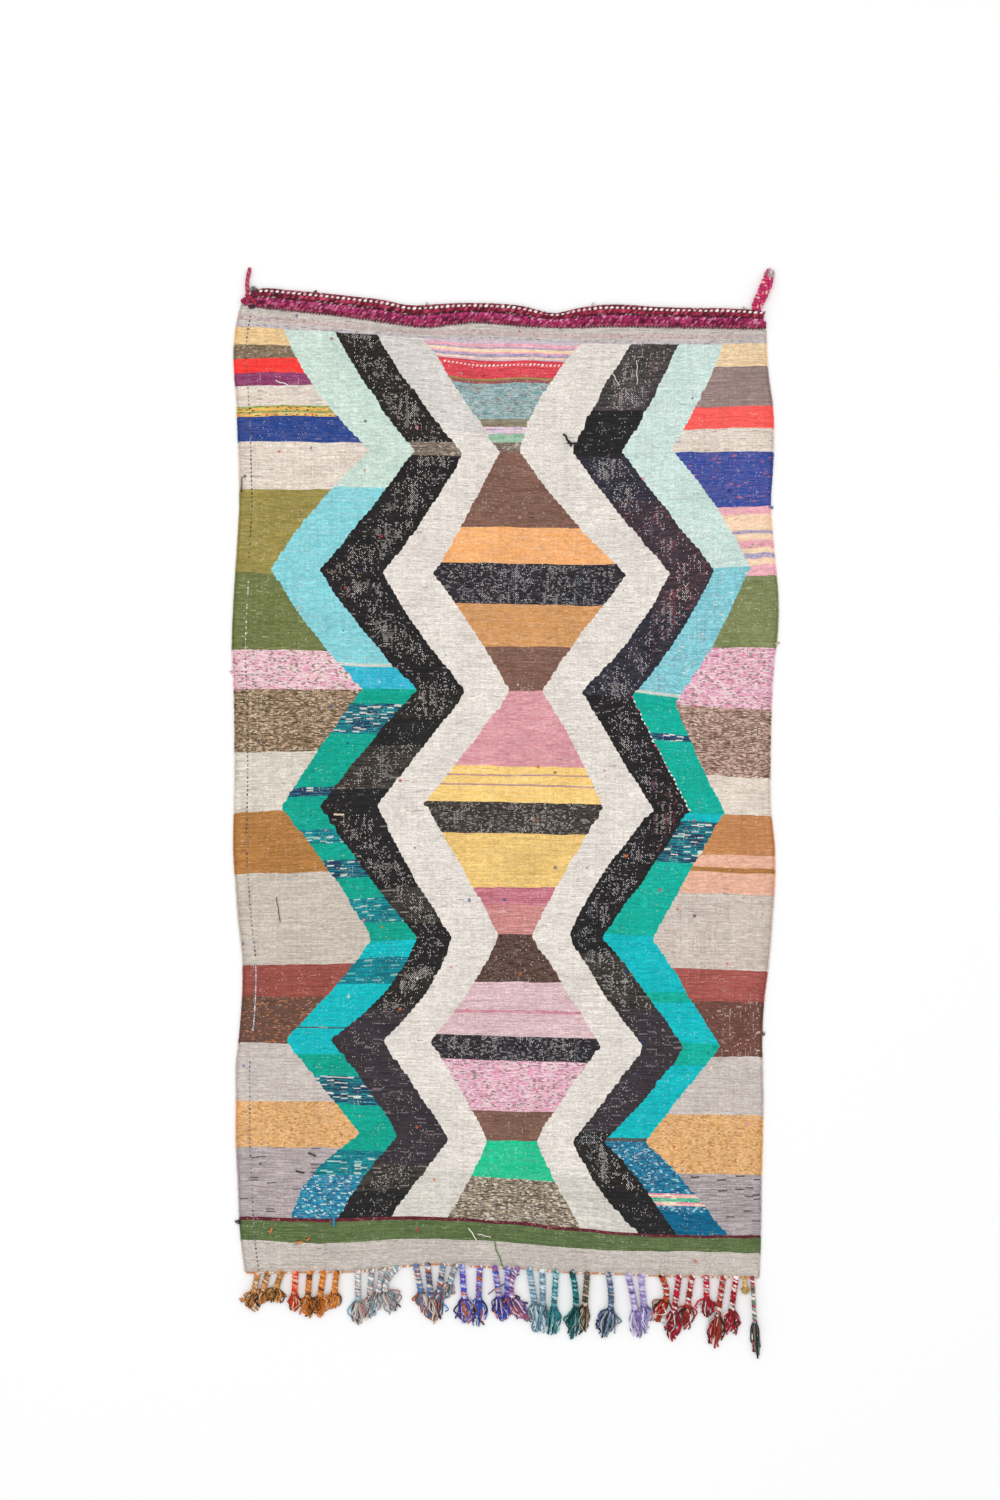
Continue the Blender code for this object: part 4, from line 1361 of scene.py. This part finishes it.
fray_place, fray_way, _, _ = along_path(RIGHT_TAIL, FRAY_FROM)
fray_dyes = dyed("#d8d4d2", "#b9a9b0", "#c96a80", "#e6d8d4", "#b8b4b6", "#c94a66")
loose_tip = frayed(fray_place, fray_way, 0.034, 0.013, 34, 0.0011, fray_dyes, seed=41)
right_fray = twist("right_tail_fray", loose_tip, 1, 0.0, 0.004, 5, wool)
left_tail_pieces, right_tail_pieces = [left_tail], [right_braid, right_fray]
plait_pieces.append(left_knot)
print("tails:", len(left_tail_pieces), "and", len(right_tail_pieces), "pieces")

# %% [markdown]
# ## Tassels
# The warps end here. A few at a time are twisted into a cord, knotted, and left to fray,
# so each tassel has the colours of the warps above it. They lie as they fell: the list
# gives where each leaves the hem, where its middle and its tip lie, its blend of yarn, and
# how wide its brush spreads.

# %% Tassels
BLENDS = {
    # the main yarn, a light one, a second one, a dark one and a bright one
    "tan": ("#a8743c", "#e2d2ba", "#c87c34", "#2c2018", "#d08840"),
    "brass": ("#b07434", "#dcae6c", "#8a562a", "#3c2a1e", "#d8943c"),
    "ember": ("#cc4a20", "#f0b89a", "#e63510", "#8a2c14", "#ee4c20"),
    "orange": ("#d4761e", "#eeb070", "#b0601e", "#4c3220", "#e0862a"),
    "ash": ("#a9a5a6", "#f0ece6", "#7aa4b4", "#5a4c44", "#c89a90"),
    "dusk": ("#7a7c90", "#e8e0d4", "#4a7eb8", "#4c3c3c", "#c0684a"),
    "violet": ("#5c4cb8", "#c8c8e8", "#3c50b8", "#3a3060", "#d07040"),
    "rust_blue": ("#3c56b8", "#d8d8ec", "#d06a34", "#2c2c50", "#5a6cc8"),
    "rose": ("#9a78a8", "#ead8e0", "#7a5ca0", "#4c3450", "#c05a70"),
    "pale_blue": ("#7aa0b4", "#dce8ec", "#4c88a4", "#4c5860", "#a0b8c4"),
    "teal": ("#2f8c96", "#c0dede", "#1f6c78", "#1c3c44", "#4fa8b0"),
    "deep_teal": ("#106066", "#8cc0b8", "#0c484c", "#0a2c30", "#1f7a7c"),
    "umber": ("#6c5040", "#c8b8a0", "#3c4c40", "#2c201c", "#a08c70"),
    "slate": ("#3c5468", "#b0b8c0", "#6a60a0", "#20303c", "#3c7c7c"),
    "lilac": ("#a08fc4", "#dcd4ec", "#8a78b8", "#5c4c80", "#a79cc8"),
    "rust": ("#8c241c", "#e8dcd0", "#c83420", "#3c1814", "#b05c2c"),
    "red": ("#c01030", "#f4eeea", "#8a1428", "#4c3028", "#d41838"),
    "red_rust": ("#a8402a", "#f0e8e0", "#c41030", "#4c2018", "#8a2a24"),
    "gold": ("#d9b45f", "#e8d09a", "#c99a45", "#a87c30", "#dcc080"),
    "ticking": ("#6f757c", "#eceae8", "#b41c38", "#2a282c", "#5c8452"),
}
Tassel = namedtuple("Tassel", "root_x mid_x tip_x tip_y blend spread")
TASSELS = [
    Tassel(-0.679, -0.690, -0.704, -1.438, "tan", 0.020),
    Tassel(-0.650, -0.664, -0.676, -1.425, "tan", 0.018),
    Tassel(-0.613, -0.628, -0.641, -1.419, "brass", 0.018),
    Tassel(-0.575, -0.578, -0.580, -1.444, "ember", 0.013),
    Tassel(-0.536, -0.541, -0.544, -1.460, "orange", 0.016),
    Tassel(-0.498, -0.507, -0.514, -1.460, "orange", 0.014),
    Tassel(-0.462, -0.468, -0.473, -1.438, "orange", 0.014),
    Tassel(-0.404, -0.403, -0.399, -1.480, "ash", 0.014),
    Tassel(-0.366, -0.371, -0.374, -1.466, "ash", 0.014),
    Tassel(-0.333, -0.348, -0.352, -1.444, "ash", 0.014),
    Tassel(-0.294, -0.330, -0.302, -1.444, "ash", 0.017),
    Tassel(-0.245, -0.232, -0.216, -1.449, "dusk", 0.013),
    Tassel(-0.212, -0.204, -0.193, -1.477, "dusk", 0.015),
    Tassel(-0.170, -0.180, -0.197, -1.449, "dusk", 0.014),
    Tassel(-0.136, -0.150, -0.160, -1.405, "ash", 0.011),
    Tassel(-0.118, -0.112, -0.104, -1.480, "violet", 0.015),
    Tassel(-0.069, -0.072, -0.074, -1.485, "rust_blue", 0.018),
    Tassel(-0.028, -0.017, -0.006, -1.471, "violet", 0.014),
    Tassel(0.008, 0.006, 0.002, -1.466, "violet", 0.012),
    Tassel(0.035, 0.018, 0.066, -1.471, "rose", 0.015),
    Tassel(0.066, 0.080, 0.088, -1.501, "pale_blue", 0.014),
    Tassel(0.102, 0.104, 0.103, -1.501, "pale_blue", 0.014),
    Tassel(0.140, 0.135, 0.129, -1.513, "teal", 0.015),
    Tassel(0.184, 0.195, 0.180, -1.518, "deep_teal", 0.014),
    Tassel(0.226, 0.220, 0.215, -1.501, "umber", 0.014),
    Tassel(0.283, 0.291, 0.272, -1.518, "slate", 0.017),
    Tassel(0.338, 0.356, 0.366, -1.518, "lilac", 0.015),
    Tassel(0.374, 0.381, 0.390, -1.496, "lilac", 0.014),
    Tassel(0.429, 0.443, 0.413, -1.471, "rust", 0.016),
    Tassel(0.478, 0.466, 0.454, -1.526, "red", 0.017),
    Tassel(0.514, 0.503, 0.495, -1.496, "red_rust", 0.015),
    Tassel(0.553, 0.554, 0.555, -1.460, "red", 0.014),
    Tassel(0.600, 0.586, 0.575, -1.543, "red_rust", 0.016),
    Tassel(0.635, 0.624, 0.616, -1.513, "red", 0.015),
    Tassel(0.657, 0.660, 0.661, -1.397, "gold", 0.008),
    Tassel(0.679, 0.686, 0.693, -1.576, "ticking", 0.007),
]
KNOT_AT = 0.55  # the share of a tassel's length where it is knotted
ROOT_INSET = 0.004  # a cord starts this far inside the hem
CORD_THICK = 0.0090
CORD_HIGH = 0.0096
KNOT_WIDE = 0.0078
KNOT_HIGH = 0.0088
STRANDS = 32
STRAND_THICK = 0.0022
FAN = 1.5  # how much wider the brushes spread than the list says
SLENDER = {"gold": 0.72, "ticking": 0.72}  # tassels of fewer warps


def tassel_route(tassel):
    """From just inside the hem, through the middle, to the tip."""
    root_y = ends_at(tassel.root_x)[0] + ROOT_INSET
    middle_y = (root_y + tassel.tip_y) / 2
    return [(tassel.root_x, root_y), (tassel.mid_x, middle_y), (tassel.tip_x, tassel.tip_y)]


def bent(route, share):
    """A point on the smooth bend through three points."""
    (x0, y0), (x1, y1), (x2, y2) = route
    cx, cy = 2 * x1 - (x0 + x2) / 2, 2 * y1 - (y0 + y2) / 2
    a, b, c = (1 - share) ** 2, 2 * share * (1 - share), share**2
    return np.array([a * x0 + b * cx + c * x2, a * y0 + b * cy + c * y2])


cords, knots, brushes = [], [], []
for number, tassel in enumerate(TASSELS):
    route = tassel_route(tassel)
    codes = BLENDS[tassel.blend]
    dyes = dyed(*codes)
    slim = SLENDER.get(tassel.blend, 1.0)
    down = [bent(route, t) for t in np.linspace(0, KNOT_AT, 16)]
    line = [(x, y, CORD_HIGH) for x, y in down]
    plies = [marled(codes, len(line), number * 3 + k) for k in range(3)]
    cords.append(Strand(line, CORD_THICK * slim, plies))
    way = bent(route, KNOT_AT + 0.1) - bent(route, KNOT_AT)
    way = way / np.linalg.norm(way)
    across_way = np.array([-way[1], way[0]])
    wound = []
    for i in range(20):
        angle = 2 * math.pi * i / 9
        side = KNOT_WIDE * slim * math.cos(angle)
        spot = down[-1] + across_way * side + way * (0.0045 * (i / 19 - 0.3) * 2)
        wound.append((spot[0], spot[1], KNOT_HIGH + 0.0052 * slim * math.sin(angle)))
    knots.append(Strand(wound, 0.0038 * slim, [dyes[0], dyes[3], dyes[4]]))
    left_over = np.linalg.norm(bent(route, 1.0) - down[-1])
    aim = (bent(route, 1.0) - down[-1]) / left_over
    spread, count = FAN * tassel.spread, round(STRANDS * slim)
    brushes += frayed(down[-1], aim, left_over, spread, count, STRAND_THICK, dyes, seed=number)

tassel_cords = twist("tassel_cords", cords, 3, 80.0, 0.003, 6, wool)
tassel_knots = twist("tassel_knots", knots, 2, 120.0, 0.003, 5, wool)
tassel_brushes = twist("tassel_brushes", brushes, 1, 0.0, 0.008, 4, wool)

# %% [markdown]
# ## The hem row and the selvedges
# A thin twined row of orange and white ties the warps off along the bottom edge. At the
# sides the weft turns round the outermost warp, which leaves a small bump for every row,
# in that row's own yarn. These bumps are what makes a woven edge look soft.

# %% Hem row and selvedge turns
TURN_INSET = 0.0006
TURN_HIGH = 0.0028

hem_line = [(x, ends_at(x)[0] + 0.0025, 0.0042) for x in np.arange(-0.708, 0.696, 0.012)]
hem_twine = Strand(hem_line, 1.0, dyed("#cf8a55", "#efe4d8", "#d9a27c"))
hem_row = stitch("hem_row", [hem_twine], 0.0062, (0.0078, 0.0052, 0.0050), 0.45, 11, wool)


def selvedge(side):
    """The cloth's left (0) or right (1) edge, with the dyes of each row."""
    column = 0 if side == 0 else column_count - 1
    field = 0 if side == 0 else len(COLUMNS) - 1
    spots, tints = [], [[], [], []]
    inset = TURN_INSET if side == 0 else -TURN_INSET
    for index in range(row_count - 1):
        x, y, z = top_points[index * column_count + column]
        yarn = YARNS[row_yarns[field][index]]
        spots.append((x + inset, y, TURN_HIGH))
        for k, code in enumerate((yarn.ground, yarn.ground, yarn.fleck)):
            tints[k].append(dye(code))
    return Strand(spots, 1.0, [np.array(t) for t in tints])


selvedges = [selvedge(0), selvedge(1)]
edge_turns = stitch("selvedge_turns", selvedges, 0.0050, (0.0066, 0.0052, 0.0046), 0.0, 17, rag)

# %% [markdown]
# ## Bare warps, stitches and loose ends
# Small accidents tell that a person made this. A dark warp shows as dashes down the left
# side, and in two places a pale one. A row of white stitches crosses the red stripe, and
# pink and white ones close a slit along one zigzag edge. Yarn ends that were never trimmed
# curl on the surface, and a few tufts stick out of the edges.

# %% Details on the surface
def row_path(level, from_x, to_x, lift, step=0.012):
    """A path along a weft row."""
    xs = np.arange(from_x, to_x, step)
    return [(x, float(weft_y(x, level)) + ripple(x, level), lift) for x in xs]


def warp_path(inset, high, low, lift, step=0.015):
    """A path down the cloth at a distance in from the left edge."""
    spots = []
    for y in np.arange(high, low, -step):
        stray = 0.0012 * noise.noise((y / 0.03, 2.0, 0.0))
        spots.append((sides_at(y)[0] + inset + stray, y, lift))
    return spots


def slit_path(line, high, low, lift):
    """A path down a zigzag line between two turns."""
    spots = []
    for index, level in enumerate(levels):
        if LEVELS[low] < level < LEVELS[high]:
            x = stepped_x(line, index)
            spots.append((x, float(weft_y(x, level)) + ripple(x, level), lift))
    return spots


TOP = CLOTH_THICK + 0.0002
dark = [
    Strand(warp_path(0.034, 1.29, 0.62, TOP), 1.0, dyed("#4a4543", "#8d8780", "#5f5854")),
    Strand(warp_path(0.036, 0.36, -0.47, TOP), 1.0, dyed("#453f3c", "#8d857c", "#5d5650")),
    Strand(warp_path(0.038, -0.76, -1.33, TOP), 1.0, dyed("#4a5368", "#8b8f9c", "#6f7076")),
]
light = [
    Strand(warp_path(0.037, 0.56, 0.38, TOP), 1.0, dyed("#ece5da", "#d8d2c8", "#8d8378")),
    Strand(warp_path(0.036, -0.49, -0.68, TOP), 1.0, dyed("#b9c4d4", "#93a0b5", "#ddd9d4")),
]
white = Strand(row_path(1.157, -0.165, 0.175, TOP), 1.0, dyed("#f2e4dc", "#f6eee8", "#ecc9c4"))
slit_line = slit_path("r1", "turn_3", "turn_4", TOP)
slit = Strand(slit_line, 1.0, dyed("#f0e6e0", "#e0607c", "#ecd8d4"))
cloth_pieces = [
    edge_turns,
    stitch("dark_warp_dashes", dark, 0.0115, (0.0072, 0.0042, 0.0024), 0.0, 23, wool),
    stitch("pale_warp_dashes", light, 0.0078, (0.0080, 0.0040, 0.0026), 0.0, 29, wool),
    stitch("white_stitches", [white], 0.0112, (0.0088, 0.0050, 0.0040), 0.75, 31, wool),
    stitch("slit_stitches", [slit], 0.0135, (0.0090, 0.0052, 0.0036), 0.2, 37, wool),
]

Curl = namedtuple("Curl", "x y length turn bend thick code")
CURLS = [
    Curl(-0.630, 1.115, 0.062, -0.6, 30.0, 0.0015, "#e9dfd6"),
    Curl(0.292, 1.140, 0.050, -1.3, 46.0, 0.0014, "#d9d4cd"),
    Curl(0.362, 1.170, 0.072, -1.6, 22.0, 0.0014, "#d2ccc4"),
    Curl(0.160, 0.966, 0.046, -0.4, 90.0, 0.0032, "#2a2727"),
    Curl(0.172, 0.942, 0.036, 0.3, 60.0, 0.0034, "#312d2c"),
    Curl(-0.028, -1.252, 0.088, -1.3, 16.0, 0.0019, "#6b7f52"),
    Curl(0.040, -1.342, 0.110, 3.6, 9.0, 0.0015, "#4b4a44"),
    Curl(-0.100, -1.215, 0.046, -1.1, 35.0, 0.0018, "#e2dbd2"),
    Curl(-0.075, -1.232, 0.040, -0.3, 55.0, 0.0016, "#ddd6cc"),
    Curl(0.398, 1.272, 0.050, 0.75, 8.0, 0.0014, "#e4d6d8"),
    Curl(-0.572, 0.480, 0.020, 1.2, 60.0, 0.0018, "#d9c9b8"),
    Curl(-0.470, -0.078, 0.030, 0.0, 25.0, 0.0030, "#d9c7ae"),
    Curl(-0.722, 0.850, 0.046, -1.7, 30.0, 0.0014, "#3a3634"),
    Curl(-0.646, -1.228, 0.014, 1.0, 90.0, 0.0030, "#d9803c"),
    Curl(-0.574, -1.256, 0.020, 0.1, 60.0, 0.0030, "#d07a38"),
    Curl(-0.545, -1.250, 0.014, 0.8, 60.0, 0.0026, "#c8743a"),
    Curl(-0.470, -1.186, 0.026, -1.5, 20.0, 0.0040, "#2f84a4"),
    Curl(-0.575, -1.058, 0.026, -0.2, 30.0, 0.0024, "#2c2a2e"),
    Curl(-0.540, -1.008, 0.024, -0.4, 30.0, 0.0024, "#33303a"),
    Curl(-0.628, -0.305, 0.075, -1.5, 8.0, 0.0014, "#5f5a56"),
]
CURL_POINTS = 16
TUFTS = [  # which edge, how far along it, how far it sticks out, its dyes
    ("right", 0.391, 0.014, ("#b39a88", "#d8cabb")),
    ("right", -0.682, 0.014, ("#6a4038", "#9a6a5c")),
    ("right", 0.765, 0.010, ("#39406a", "#7a7ea0")),
    ("left", -1.200, 0.018, ("#2c2a30", "#4a4650")),
    ("left", 0.312, 0.014, ("#e9a0b8", "#f0c4cf")),
    ("top", -0.5225, 0.012, ("#4f5a4c", "#6b2236")),
    ("top", 0.242, 0.018, ("#d8d2cc", "#efe9e2")),
    ("top", -0.215, 0.012, ("#e8e0d8", "#d6cbc2")),
    ("top", 0.655, 0.012, ("#e4e0d2", "#cfc8b4")),
]


def tuft_root(edge, along):
    """Just inside an edge, and the way straight out of it."""
    if edge == "top":
        return (along, plait_at(along)[1] - 0.004), (0.2, 0.98)
    left, right = sides_at(along)
    if edge == "left":
        return (left + 0.003, along), (-0.98, 0.2)
    return (right - 0.003, along), (0.98, 0.2)


def curled(curl, seed):
    """A yarn end that wanders over the cloth as it turns."""
    chance = random.Random(seed)
    x, y, turn, spots = curl.x, curl.y, curl.turn, []
    step = curl.length / CURL_POINTS
    for i in range(CURL_POINTS):
        hop = 0.8 + 0.7 * math.sin(math.pi * i / (CURL_POINTS - 1))
        spots.append((x, y, CLOTH_THICK + curl.thick * hop))
        x += step * math.cos(turn)
        y += step * math.sin(turn)
        turn += curl.bend * step * (1.6 * math.sin(i * 0.8 + seed) + chance.uniform(-0.4, 0.4))
    return Strand(spots, curl.thick, [dye(curl.code)])


loose_ends = [curled(curl, seed) for seed, curl in enumerate(CURLS)]
for seed, (edge, along, reach, codes) in enumerate(TUFTS):
    root, way = tuft_root(edge, along)
    fluff = dyed(*codes)
    loose_ends += frayed(root, way, reach, 0.006, 9, 0.0010, fluff, seed=60 + seed, lift=0.004)
cloth_pieces.append(twist("loose_yarn", loose_ends, 1, 0.0, 0.003, 5, wool))
fringe_pieces = [hem_row, tassel_cords, tassel_knots, tassel_brushes]
print("on the cloth:", len(cloth_pieces), "pieces; in the fringe:", len(fringe_pieces))

# %% [markdown]
# ## What rides where
# Nothing on the rug moves by itself, so every piece rides on its one body, and each
# stands for the imported piece that it was made over.

# %% Bodies
groups = {
    ("field", "woven_rag_cloth"): [cloth] + cloth_pieces,
    ("top_plait", "twined_plait"): plait_pieces,
    ("corner_tail_left", "tail_cord"): left_tail_pieces,
    ("corner_tail_right", "tail_plait"): right_tail_pieces,
    ("fringe", "tassel_yarn"): fringe_pieces,
}
for (packed, finish_slot), pieces in groups.items():
    for piece in pieces:
        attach(piece, "root")
        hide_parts(packed)
others = [piece for pieces in groups.values() for piece in pieces if piece is not cloth]
triangles = sum(triangle_count(piece.data) for piece in [cloth] + others)
print(len(others) + 1, "pieces,", triangles, "triangles in all")
